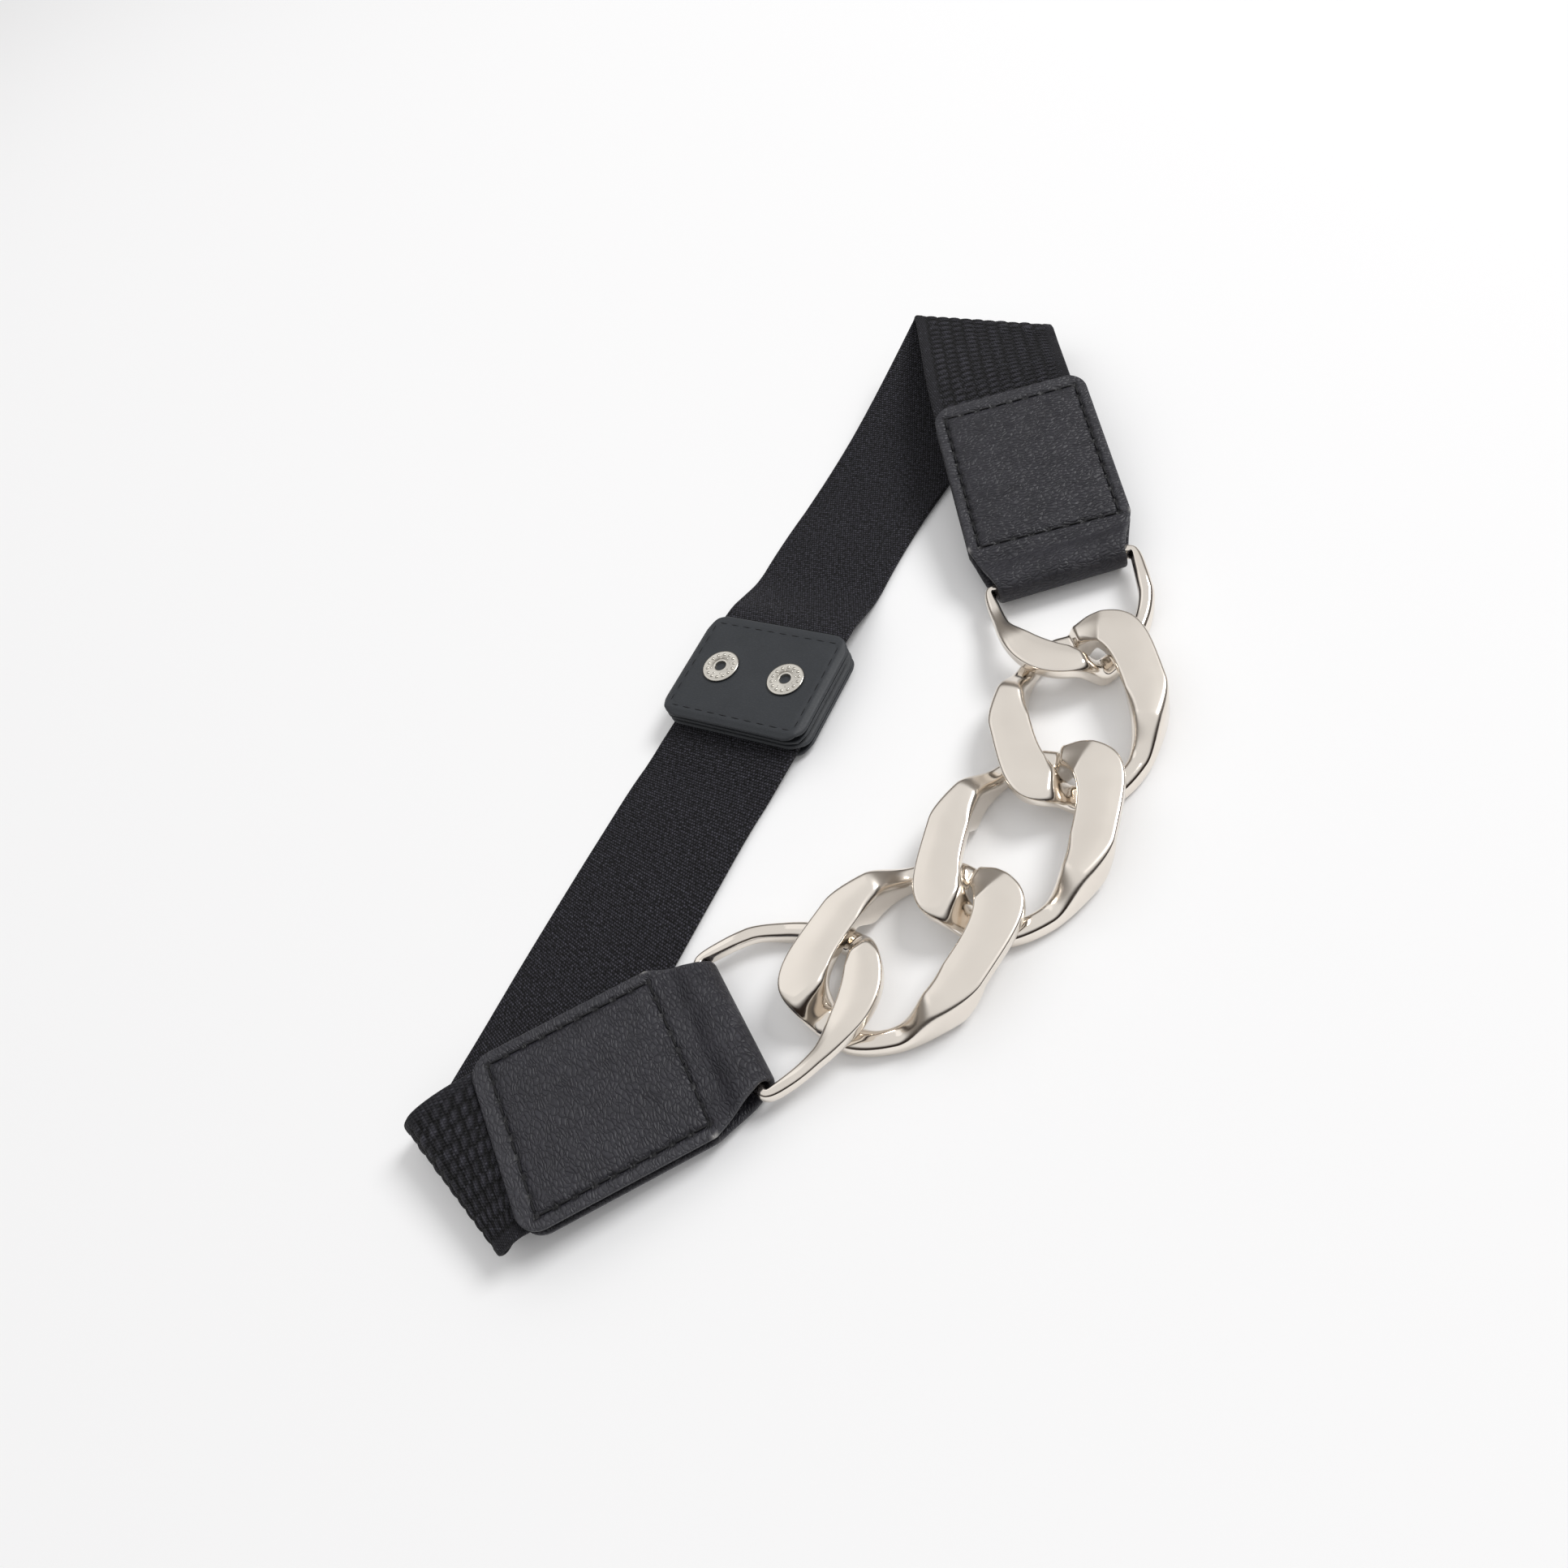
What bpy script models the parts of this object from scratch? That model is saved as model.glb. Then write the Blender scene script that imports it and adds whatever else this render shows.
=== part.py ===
# Elastic belt with a chain front, laid flat with both straps folded back over themselves.
# Units: metres, +Z up. The belt lies on z = 0 with the inner face of its back run upwards.
# The origin is the middle of the belt's outline on the table.
import math

import bmesh
import bpy
from mathutils import Matrix, Vector

MM = 0.001

# Clearance between neighbouring pieces
PIECE_GAP = 0.3 * MM

# Elastic band
ELASTIC_WIDTH = 39.0 * MM
ELASTIC_THICK = 1.5 * MM
ELASTIC_END_INSET = 3.0 * MM

# Leather tabs that fold round the bars of the end links
TAB_WIDTH = 42.3 * MM
TAB_LEATHER = 1.4 * MM
TAB_PANEL = 48.5 * MM
TAB_LOOP = 11.5 * MM
TAB_CORNER = 5.5 * MM
TAB_NOSE_CLEARANCE = 1.1 * MM
TAB_NOSE_REACH = 2.0 * MM

# Leather patches that carry the two press studs
PATCH_WIDTH = 44.0 * MM
PATCH_LENGTH = 34.0 * MM
PATCH_LEATHER = 1.0 * MM
PATCH_CORNER = 5.5 * MM
PATCH_SLIP = 0.2 * MM

# Press studs: a post through all layers with a cap at each end
STUD_SPACING = 20.3 * MM
STUD_CAP_RADIUS = 5.1 * MM
STUD_CAP_THICK = 0.6 * MM
STUD_CAP_BEVEL = 0.2 * MM
STUD_POST_RADIUS = 2.4 * MM
STUD_EYE_RADIUS = 1.55 * MM
STUD_EYE_DEPTH = 1.2 * MM

# Chain links: two flats lie over, two necks pass under
LINK_LENGTH = 50.4 * MM
LINK_WIDTH = 41.2 * MM
LINK_END = 6.3 * MM
LINK_FLAT = 9.5 * MM
LINK_SKEW = 5.2

# End links: a link's head with a straight bar for the tab
END_REACH = 23.5 * MM
END_HEAD = 6.4 * MM
END_WIDTH = 39.6 * MM
END_LEG = 3.8 * MM
END_SKEW = 2.6
BAR_DISTANCE = 13.8 * MM
BAR_THICK = 3.6 * MM
LEG_SPLAY_OUTER = 0.05
LEG_SPLAY_INNER = 0.12
BAR_CORNER_POWERS = {"outer": 7, "inner": 48}

# Roundness of the outlines in plan: over for the quarters that lie over, under for the rest
LINK_OUTER_POWERS = {"over": 4.5, "under": 1.55}
LINK_HOLE_POWERS = {"over": 3.2, "under": 2.2}
END_OUTER_POWERS = {"over": 2.4, "under": 1.5}
END_HOLE_POWERS = {"over": 1.4, "under": 1.45}

# Heights of the metal: the under stretch, the air where two pieces cross, the over stretch
UNDER_THICK = 5.0 * MM
CROSS_GAP = 0.55 * MM
OVER_THICK = 5.15 * MM
SHOULDER_DROP = 2.5 * MM
TOP_BEVEL = 0.5 * MM
BOTTOM_BEVEL = 1.0 * MM
BEVEL_SHARE = 0.1

# Layout on the table
CHAIN_START = Vector((84.3 * MM, -0.3 * MM, 0.0))
PATCH_CENTRE = Vector((7.05 * MM, 30.0 * MM, 0.0))
PATCH_HEADING = 39.4

# Chain walk. slack: how far short of pulled tight the pair lies, as a share of a link's
# length; heading: direction of the step in plan; yaw: how the piece is turned in plan. The
# +x end of a piece points down the chain, and the bar of an end link is at its -x end.
CHAIN_WALK = (
    {"name": "end_link_upper", "slack": 0.0, "heading": 0.0, "yaw": -107.5},
    {"name": "link_1", "slack": 0.0694, "heading": -119.7, "yaw": -108.8},
    {"name": "link_2", "slack": 0.0397, "heading": -141.9, "yaw": -132.9},
    {"name": "link_3", "slack": 0.0308, "heading": -164.1, "yaw": -151.7},
    {"name": "end_link_lower", "slack": 0.1468, "heading": 170.1, "yaw": 3.0},
)

# Height tables: level of the metal at a plan angle counted from the piece's +x end.
# Between two rows the height eases from one to the other, or runs straight where the first
# row says that a facet starts there.
LINK_TOP = (
    {"angle": 171.0, "level": "under_top"},
    {"angle": 208.0, "level": "under_top"},
    {"angle": 239.7, "level": "over_top"},
    {"angle": 330.8, "level": "over_top"},
    {"angle": 344.3, "level": "under_top"},
    {"angle": 388.0, "level": "under_top"},
    {"angle": 419.7, "level": "over_top"},
    {"angle": 513.0, "level": "over_top", "facet": True},
    {"angle": 527.5, "level": "shoulder"},
)
LINK_BOTTOM = (
    {"angle": 165.7, "level": "under_bottom"},
    {"angle": 250.3, "level": "under_bottom"},
    {"angle": 279.0, "level": "over_bottom"},
    {"angle": 333.1, "level": "over_bottom"},
    {"angle": 345.7, "level": "under_bottom"},
    {"angle": 430.3, "level": "under_bottom"},
    {"angle": 459.0, "level": "over_bottom"},
    {"angle": 513.1, "level": "over_bottom"},
)
END_TOP = (
    {"angle": -8.5, "level": "over_top"},
    {"angle": 7.3, "level": "under_top"},
    {"angle": 60.0, "level": "under_top"},
    {"angle": 105.0, "level": "bar_top"},
    {"angle": 250.0, "level": "bar_top"},
    {"angle": 300.0, "level": "over_top"},
)
END_BOTTOM = (
    {"angle": -14.0, "level": "over_bottom"},
    {"angle": 4.1, "level": "under_bottom"},
    {"angle": 55.0, "level": "under_bottom"},
    {"angle": 105.0, "level": "bar_bottom"},
    {"angle": 250.0, "level": "bar_bottom"},
    {"angle": 290.0, "level": "over_bottom"},
)
# Angles at an end link's bar corners, which get sections of their own
END_CORNERS = (
    117.0, 120.5, 122.5, 124.5, 126.5, 129.0, 231.0, 233.5, 235.5, 237.5, 239.5, 243.0,
)
HALF_TURN = 180.0
FULL_TURN = 360.0
RISE_STEP = 1.0 * MM
ANGLE_STEP = 9.0

# Tabs. link: the end link whose bar it holds; heading and tilt of the panel as it leaves the
# bar; roll lifts the panel's left side; length is a share of the panel's named length.
TABS = {
    "tab_upper": {
        "link": "end_link_upper", "heading": 71.5, "tilt": 9.1, "roll": 3.7, "length": 1.035,
    },
    "tab_lower": {
        "link": "end_link_lower", "heading": 181.5, "tilt": 5.5, "roll": -4.5, "length": 0.905,
    },
}

# Folds of the two straps, each a piece of a cone: the left edge turns in a small radius and
# the right edge in a wide loop, seen along the back run from the patch. heading, ramp and
# roll place the band where the fold starts, lead is the slant of its first ruling, cone the
# half angle and turn the angle folded round. tight is the left edge's radius as a share of
# the band's thickness. As shares of its width, run is the left edge's length from the fold to
# the tab, and entry how far right of the tab's middle the band goes in.
FOLDS = {
    "elastic_upper": {
        "tab": "tab_upper", "heading": 32.5, "ramp": 13.1, "roll": 23.6, "lead": 5.7,
        "cone": 7.4, "turn": 160.3, "tight": 0.8333, "run": 1.218,
        "entry": -0.03,
    },
    "elastic_lower": {
        "tab": "tab_lower", "heading": 220.5, "ramp": 3.0, "roll": 5.5, "lead": -27.0,
        "cone": 6.8, "turn": 166.0, "tight": 0.8667, "run": 0.1359,
        "entry": 0.0,
    },
}
FOLD_STEPS = 9

# Back runs from patch to fold. along: share of the run; bow: sideways swing to the left as a
# share of the band's width; drop: share of the way down from the patch to the table; left and
# right: shares of the way up to the fold at either edge.
BACK_RUNS = {
    "elastic_upper": (
        {"along": 0.04, "bow": 0.012, "drop": 0.10, "left": 0.00, "right": 0.0},
        {"along": 0.09, "bow": 0.035, "drop": 0.45, "left": 0.00, "right": 0.0},
        {"along": 0.15, "bow": 0.060, "drop": 0.85, "left": 0.00, "right": 0.0},
        {"along": 0.21, "bow": 0.078, "drop": 1.00, "left": 0.00, "right": 0.0},
        {"along": 0.32, "bow": 0.092, "drop": 1.00, "left": 0.00, "right": 0.0},
        {"along": 0.42, "bow": 0.089, "drop": 1.00, "left": 0.02, "right": 0.0},
        {"along": 0.52, "bow": 0.068, "drop": 1.00, "left": 0.12, "right": 0.0},
        {"along": 0.64, "bow": 0.040, "drop": 1.00, "left": 0.30, "right": 0.0},
        {"along": 0.76, "bow": 0.021, "drop": 1.00, "left": 0.52, "right": 0.0},
        {"along": 0.88, "bow": 0.008, "drop": 1.00, "left": 0.76, "right": 0.0},
    ),
    "elastic_lower": (
        {"along": 0.04, "bow": -0.012, "drop": 0.25, "left": 0.00, "right": 0.0},
        {"along": 0.09, "bow": -0.032, "drop": 0.75, "left": 0.00, "right": 0.0},
        {"along": 0.14, "bow": -0.045, "drop": 1.00, "left": 0.00, "right": 0.0},
        {"along": 0.32, "bow": -0.050, "drop": 1.00, "left": 0.00, "right": 0.0},
        {"along": 0.50, "bow": -0.044, "drop": 1.00, "left": 0.00, "right": 0.0},
        {"along": 0.68, "bow": -0.032, "drop": 1.00, "left": 0.10, "right": 0.0},
        {"along": 0.84, "bow": -0.014, "drop": 1.00, "left": 0.45, "right": 0.0},
    ),
}
FRONT_STEPS = 5
RIBBON_COLUMNS = 4
CORNER_STEPS = 4
LOOP_STEPS = 12
TURNED_STEPS = 20
HOLE_STEPS = 16
NOSE_STEPS = 4
WELD_DISTANCE = 0.01 * MM
SHARP_ANGLE = 35.0
TINY_SHARE = 0.001

# Finishes: colour, roughness, metallic
FINISHES = {
    "elastic": {"colour": (0.020, 0.020, 0.026), "roughness": 0.85, "metallic": 0.0},
    "leather": {"colour": (0.050, 0.051, 0.055), "roughness": 0.55, "metallic": 0.0},
    "chain_metal": {"colour": (0.80, 0.76, 0.71), "roughness": 0.28, "metallic": 1.0},
    "stud_metal": {"colour": (0.78, 0.76, 0.73), "roughness": 0.35, "metallic": 1.0},
}

# Sizes that follow from the ones above
LINK_HOLE_HALF = LINK_LENGTH / 2 - LINK_END
END_HOLE_HALF = END_REACH - END_HEAD
METAL_TOP = UNDER_THICK + CROSS_GAP + OVER_THICK
BAR_HEIGHT = METAL_TOP / 2
LEVELS = {
    "under_bottom": 0.0,
    "under_top": UNDER_THICK,
    "over_bottom": UNDER_THICK + CROSS_GAP,
    "over_top": METAL_TOP,
    "shoulder": METAL_TOP - SHOULDER_DROP,
    "bar_top": BAR_HEIGHT + BAR_THICK / 2,
    "bar_bottom": BAR_HEIGHT - BAR_THICK / 2,
}
BAR_RADIUS = BAR_THICK / 2 * math.hypot(1.0, 1.0 - 2 * BEVEL_SHARE)
TAB_LAYER_OFFSET = ELASTIC_THICK / 2 + PIECE_GAP + TAB_LEATHER / 2
TAB_LOOP_RADIUS = BAR_RADIUS + PIECE_GAP + TAB_LEATHER / 2
BAR_INNER_FACE = BAR_DISTANCE - BAR_THICK / 2
TAB_NOSE_HALF = (
    END_WIDTH / 2 - END_LEG + LEG_SPLAY_INNER * BAR_INNER_FACE - TAB_NOSE_CLEARANCE
)
FLOOR_LEVEL = ELASTIC_THICK / 2
CUTTER_DEPTH = METAL_TOP * 3
CLEAR_OF_BAR = BAR_THICK / 2 + PIECE_GAP


def smooth(share):
    share = min(max(share, 0.0), 1.0)
    return share * share * (3.0 - 2.0 * share)


def plan_direction(degrees):
    angle = math.radians(degrees)
    return Vector((math.cos(angle), math.sin(angle), 0.0))


def right_of(direction):
    return Vector((direction.y, -direction.x, 0.0))


def material_for(name, finish):
    look = FINISHES[finish]
    material = bpy.data.materials.new(finish + "_" + name)
    material.use_nodes = True
    shader = material.node_tree.nodes["Principled BSDF"]
    shader.inputs["Base Color"].default_value = (*look["colour"], 1.0)
    shader.inputs["Roughness"].default_value = look["roughness"]
    shader.inputs["Metallic"].default_value = look["metallic"]
    material.diffuse_color = (*look["colour"], 1.0)
    return material


def add_object(name, mesh, finish, collection, frame):
    piece = bpy.data.objects.new(name, mesh)
    mesh.materials.append(material_for(name, finish))
    collection.objects.link(piece)
    piece.parent = frame
    mesh.shade_smooth()
    mesh.set_sharp_from_angle(angle=math.radians(SHARP_ANGLE))
    return piece


# Metal rings lofted through eight-sided sections

def superellipse(angle, half_length, half_width, power):
    along = abs(math.cos(angle)) / half_length
    across = abs(math.sin(angle)) / half_width
    return (along ** power + across ** power) ** (-1.0 / power)


def link_radius(degrees, half_length, half_width, powers):
    angle = math.radians(degrees)
    lies_over = math.cos(angle) * math.sin(angle) < 0.0
    power = powers["over"] if lies_over else powers["under"]
    return superellipse(angle, half_length, half_width, power)


def end_link_radius(degrees, half_length, half_width, powers, bar_face, splay, corner_power):
    angle = math.radians(degrees)
    along, across = math.cos(angle), math.sin(angle)
    if along > 0.0:
        power = powers["over"] if across < 0.0 else powers["under"]
        return superellipse(angle, half_length, half_width, power)
    leg_run = max(abs(across) - splay * abs(along), TINY_SHARE)
    bar_run = max(abs(along), TINY_SHARE)
    leg = (half_width / leg_run) ** -corner_power
    bar = (bar_face / bar_run) ** -corner_power
    return (leg + bar) ** (-1.0 / corner_power)


def height_at(table, degrees):
    first = table[0]["angle"]
    turned = (degrees - first) % FULL_TURN + first
    rows = [(row["angle"], LEVELS[row["level"]], row.get("facet", False)) for row in table]
    rows.append((first + FULL_TURN, rows[0][1], False))
    for (angle_0, height_0, facet), (angle_1, height_1, _) in zip(rows, rows[1:]):
        if turned <= angle_1:
            share = (turned - angle_0) / (angle_1 - angle_0)
            return height_0 + (height_1 - height_0) * (share if facet else smooth(share))
    return rows[-1][1]


def section_angles(top, bottom, corners):
    marks = sorted({row["angle"] % FULL_TURN for row in top + bottom}.union(corners))
    marks.append(marks[0] + FULL_TURN)
    angles = []
    for start, stop in zip(marks, marks[1:]):
        rise = max(
            abs(height_at(table, stop) - height_at(table, start))
            for table in (top, bottom)
        )
        steps = math.ceil(max(rise / RISE_STEP, (stop - start) / ANGLE_STEP))
        angles += [start + (stop - start) * step / steps for step in range(steps)]
    return angles


def ring_section(inner, outer, low, high):
    flat_in = inner.lerp(outer, BEVEL_SHARE)
    flat_out = outer.lerp(inner, BEVEL_SHARE)
    corners = (
        (inner, high - TOP_BEVEL), (flat_in, high),
        (flat_out, high), (outer, high - TOP_BEVEL),
        (outer, low + BOTTOM_BEVEL), (flat_out, low),
        (flat_in, low), (inner, low + BOTTOM_BEVEL),
    )
    return [Vector((point.x, point.y, height)) for point, height in corners]


def ring_mesh(name, outer_radius, hole_radius, skew_at, top, bottom, corners):
    builder = bmesh.new()
    rings = []
    for angle in section_angles(top, bottom, corners):
        skew = skew_at(angle) / 2
        outer = plan_direction(angle + skew) * outer_radius(angle + skew)
        inner = plan_direction(angle - skew) * hole_radius(angle - skew)
        low = height_at(bottom, angle)
        high = height_at(top, angle)
        rings.append([builder.verts.new(point) for point in ring_section(inner, outer, low, high)])
    for ring, after in zip(rings, rings[1:] + rings[:1]):
        for corner in range(len(ring)):
            beside = (corner + 1) % len(ring)
            builder.faces.new((ring[corner], ring[beside], after[beside], after[corner]))
    bmesh.ops.recalc_face_normals(builder, faces=builder.faces)
    mesh = bpy.data.meshes.new(name)
    builder.to_mesh(mesh)
    builder.free()
    return mesh


def link_mesh():
    return ring_mesh(
        "link",
        lambda angle: link_radius(angle, LINK_LENGTH / 2, LINK_WIDTH / 2, LINK_OUTER_POWERS),
        lambda angle: link_radius(
            angle, LINK_HOLE_HALF, LINK_WIDTH / 2 - LINK_FLAT, LINK_HOLE_POWERS
        ),
        lambda angle: LINK_SKEW * math.cos(math.radians(angle)) ** 2,
        LINK_TOP, LINK_BOTTOM, (),
    )


def end_link_mesh():
    return ring_mesh(
        "end_link",
        lambda angle: end_link_radius(
            angle, END_REACH, END_WIDTH / 2, END_OUTER_POWERS,
            BAR_DISTANCE + BAR_THICK / 2, LEG_SPLAY_OUTER, BAR_CORNER_POWERS["outer"],
        ),
        lambda angle: end_link_radius(
            angle, END_HOLE_HALF, END_WIDTH / 2 - END_LEG, END_HOLE_POWERS,
            BAR_INNER_FACE, LEG_SPLAY_INNER, BAR_CORNER_POWERS["inner"],
        ),
        lambda angle: END_SKEW * max(math.cos(math.radians(angle)), 0.0) ** 2,
        END_TOP, END_BOTTOM, END_CORNERS,
    )


def chain_places():
    places = {}
    centre = CHAIN_START
    reach_before = END_HOLE_HALF
    for row in CHAIN_WALK:
        reach = END_HOLE_HALF if row["name"].startswith("end_link") else LINK_HOLE_HALF
        if places:
            pitch = reach_before + reach - row["slack"] * LINK_LENGTH
            centre = centre + plan_direction(row["heading"]) * pitch
        places[row["name"]] = (centre, row["yaw"])
        reach_before = reach
    return places


def build_chain(collection, frame):
    places = chain_places()
    meshes = {"link": link_mesh(), "end_link": end_link_mesh()}
    for name, (centre, yaw) in places.items():
        kind = "end_link" if name.startswith("end_link") else "link"
        piece = add_object(name, meshes[kind].copy(), "chain_metal", collection, frame)
        piece.location = centre
        piece.rotation_euler.z = math.radians(yaw)
    for mesh in meshes.values():
        bpy.data.meshes.remove(mesh)
    return places


# Ribbons: an open sheet ruled between a left and a right edge, then given its thickness

def ribbon(name, rows, thickness, finish, collection, frame):
    builder = bmesh.new()
    lines = []
    for left, right in rows:
        points = [left.lerp(right, column / RIBBON_COLUMNS) for column in range(RIBBON_COLUMNS + 1)]
        lines.append([builder.verts.new(point) for point in points])
    for line, after in zip(lines, lines[1:]):
        for column in range(RIBBON_COLUMNS):
            builder.faces.new(
                (line[column], line[column + 1], after[column + 1], after[column])
            )
    mesh = bpy.data.meshes.new(name)
    builder.to_mesh(mesh)
    builder.free()
    piece = add_object(name, mesh, finish, collection, frame)
    wall = piece.modifiers.new("wall", "SOLIDIFY")
    wall.thickness = thickness
    wall.offset = 0.0
    return piece


class TabPlane:
    # A tab's own coordinates: back from the bar, right across, lift off the middle plane.
    # Near the bar they follow the bar, and from the seam on they follow the panel.
    def __init__(self, row, places):
        centre, yaw = places[row["link"]]
        bar_back = plan_direction(yaw + HALF_TURN)
        self.origin = centre + bar_back * BAR_DISTANCE + Vector((0.0, 0.0, BAR_HEIGHT))
        self.bar_axes = (bar_back, right_of(bar_back), Vector((0.0, 0.0, 1.0)))
        flat_back = plan_direction(row["heading"])
        tilt = math.radians(row["tilt"])
        back = flat_back * math.cos(tilt) + Vector((0.0, 0.0, math.sin(tilt)))
        turn = Matrix.Rotation(math.radians(row["roll"]), 3, back)
        right = turn @ right_of(flat_back)
        self.panel_axes = (back, right, right.cross(back))
        self.end = TAB_LOOP + TAB_PANEL * row["length"]

    def point(self, back, right, lift):
        weight = smooth((back - CLEAR_OF_BAR) / (TAB_LOOP - CLEAR_OF_BAR))
        offsets = (back, right, lift)
        by_bar = sum((axis * size for axis, size in zip(self.bar_axes, offsets)), Vector())
        by_panel = sum((axis * size for axis, size in zip(self.panel_axes, offsets)), Vector())
        return self.origin + by_bar.lerp(by_panel, weight)

    def line(self, back, half_width, lift):
        return (self.point(back, -half_width, lift), self.point(back, half_width, lift))


def nose_half(back):
    # Half width of the leather that narrows from the seam to the loop between the end link's legs
    share = (back + TAB_NOSE_REACH) / (TAB_LOOP + TAB_NOSE_REACH)
    return TAB_NOSE_HALF + (TAB_WIDTH / 2 - TAB_NOSE_HALF) * max(share, 0.0)


def tab_layer_stations(end):
    # Stations of one leather layer from its rounded end to the bar: back, half width, lift
    stations = []
    for step in range(CORNER_STEPS + 1):
        angle = math.pi / 2 * step / CORNER_STEPS
        back = end - TAB_CORNER * (1.0 - math.cos(angle))
        half = TAB_WIDTH / 2 - TAB_CORNER * (1.0 - math.sin(angle))
        stations.append((back, half, TAB_LAYER_OFFSET))
    seam_start = TAB_LOOP + TAB_CORNER
    stations.append(((end - TAB_CORNER + seam_start) / 2, TAB_WIDTH / 2, TAB_LAYER_OFFSET))
    stations.append((seam_start, TAB_WIDTH / 2, TAB_LAYER_OFFSET))
    for step in range(NOSE_STEPS + 1):
        share = 1.0 - step / NOSE_STEPS
        back = CLEAR_OF_BAR + (TAB_LOOP - CLEAR_OF_BAR) * share
        lift = TAB_LOOP_RADIUS + (TAB_LAYER_OFFSET - TAB_LOOP_RADIUS) * smooth(share)
        stations.append((back, nose_half(back), lift))
    return stations


def build_tab(name, places, collection, frame):
    plane = TabPlane(TABS[name], places)
    layer = tab_layer_stations(plane.end)
    rows = [plane.line(back, half, lift) for back, half, lift in layer]
    for step in range(LOOP_STEPS + 1):
        angle = math.pi / 2 - math.pi * step / LOOP_STEPS
        back = -TAB_LOOP_RADIUS * math.cos(angle)
        rows.append(plane.line(back, nose_half(back), TAB_LOOP_RADIUS * math.sin(angle)))
    rows += [plane.line(back, half, -lift) for back, half, lift in reversed(layer)]
    ribbon(name, rows, TAB_LEATHER, "leather", collection, frame)
    return plane


# Patches and studs: a stack of two leather-faced strap ends pressed together

def patch_levels():
    # Middle heights of the layers, from the table up, with the gap between neighbours
    levels = {}
    height = STUD_CAP_THICK + PIECE_GAP
    layers = (
        ("patch_bottom_back", PATCH_LEATHER), ("elastic_lower", ELASTIC_THICK),
        ("patch_bottom_face", PATCH_LEATHER), ("patch_top_back", PATCH_LEATHER),
        ("elastic_upper", ELASTIC_THICK), ("patch_top_face", PATCH_LEATHER),
    )
    for name, thickness in layers:
        levels[name] = height + thickness / 2
        height += thickness + PIECE_GAP
    levels["stud_top"] = height + STUD_CAP_THICK
    return levels


def stud_places():
    across = right_of(plan_direction(PATCH_HEADING)) * STUD_SPACING / 2
    return (PATCH_CENTRE - across, PATCH_CENTRE + across)


def patch_centre(name):
    slips = name.startswith("patch_bottom") or name == "elastic_lower"
    slip = PATCH_SLIP if slips else 0.0
    return PATCH_CENTRE + right_of(plan_direction(PATCH_HEADING)) * slip


def rounded_outline(half_length, half_width, radius):
    points = []
    for quarter, (side_x, side_y) in enumerate(((1, 1), (-1, 1), (-1, -1), (1, -1))):
        for step in range(CORNER_STEPS + 1):
            angle = math.pi / 2 * (quarter + step / CORNER_STEPS)
            points.append((
                side_x * (half_length - radius) + radius * math.cos(angle),
                side_y * (half_width - radius) + radius * math.sin(angle),
            ))
    return points


def round_hole(centre, radius):
    turns = [2 * math.pi * step / HOLE_STEPS for step in range(HOLE_STEPS)]
    return [
        (centre.x + radius * math.cos(turn), centre.y + radius * math.sin(turn))
        for turn in turns
    ]


def plate_mesh(name, outlines, thickness):
    curve = bpy.data.curves.new(name, "CURVE")
    curve.dimensions = "2D"
    curve.fill_mode = "BOTH"
    curve.extrude = thickness / 2
    for outline in outlines:
        spline = curve.splines.new("POLY")
        spline.points.add(len(outline) - 1)
        for point, (x, y) in zip(spline.points, outline):
            point.co = (x, y, 0.0, 1.0)
        spline.use_cyclic_u = True
    drawn = bpy.data.objects.new(name + "_outline", curve)
    bpy.context.scene.collection.objects.link(drawn)
    depsgraph = bpy.context.evaluated_depsgraph_get()
    mesh = bpy.data.meshes.new_from_object(drawn.evaluated_get(depsgraph))
    bpy.data.objects.remove(drawn)
    bpy.data.curves.remove(curve)
    builder = bmesh.new()
    builder.from_mesh(mesh)
    bmesh.ops.remove_doubles(builder, verts=builder.verts, dist=WELD_DISTANCE)
    bmesh.ops.recalc_face_normals(builder, faces=builder.faces)
    builder.to_mesh(mesh)
    builder.free()
    mesh.materials.clear()
    return mesh


def build_patch(name, level, collection, frame):
    centre = patch_centre(name)
    turn = Matrix.Rotation(math.radians(-PATCH_HEADING), 3, "Z")
    hole_radius = STUD_POST_RADIUS + PIECE_GAP
    outlines = [rounded_outline(PATCH_LENGTH / 2, PATCH_WIDTH / 2, PATCH_CORNER)]
    outlines += [round_hole(turn @ (stud - centre), hole_radius) for stud in stud_places()]
    mesh = plate_mesh(name, outlines, PATCH_LEATHER)
    piece = add_object(name, mesh, "leather", collection, frame)
    piece.location = centre + Vector((0.0, 0.0, level))
    piece.rotation_euler.z = math.radians(PATCH_HEADING)


def build_stud(name, place, top, collection, frame):
    rim = STUD_CAP_RADIUS - STUD_CAP_BEVEL
    profile = (
        (0.0, top - STUD_EYE_DEPTH),
        (STUD_EYE_RADIUS, top - STUD_EYE_DEPTH),
        (STUD_EYE_RADIUS, top),
        (rim, top),
        (STUD_CAP_RADIUS, top - STUD_CAP_BEVEL),
        (STUD_CAP_RADIUS, top - STUD_CAP_THICK),
        (STUD_POST_RADIUS, top - STUD_CAP_THICK),
        (STUD_POST_RADIUS, STUD_CAP_THICK),
        (STUD_CAP_RADIUS, STUD_CAP_THICK),
        (STUD_CAP_RADIUS, STUD_CAP_BEVEL),
        (rim, 0.0),
        (0.0, 0.0),
    )
    mesh = bpy.data.meshes.new(name)
    points = [(radius, 0.0, height) for radius, height in profile]
    mesh.from_pydata(points, [(index, index + 1) for index in range(len(points) - 1)], [])
    piece = add_object(name, mesh, "stud_metal", collection, frame)
    piece.location = place
    screw = piece.modifiers.new("turned", "SCREW")
    screw.steps = TURNED_STEPS
    screw.render_steps = TURNED_STEPS
    screw.use_merge_vertices = True
    screw.merge_threshold = WELD_DISTANCE


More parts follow.
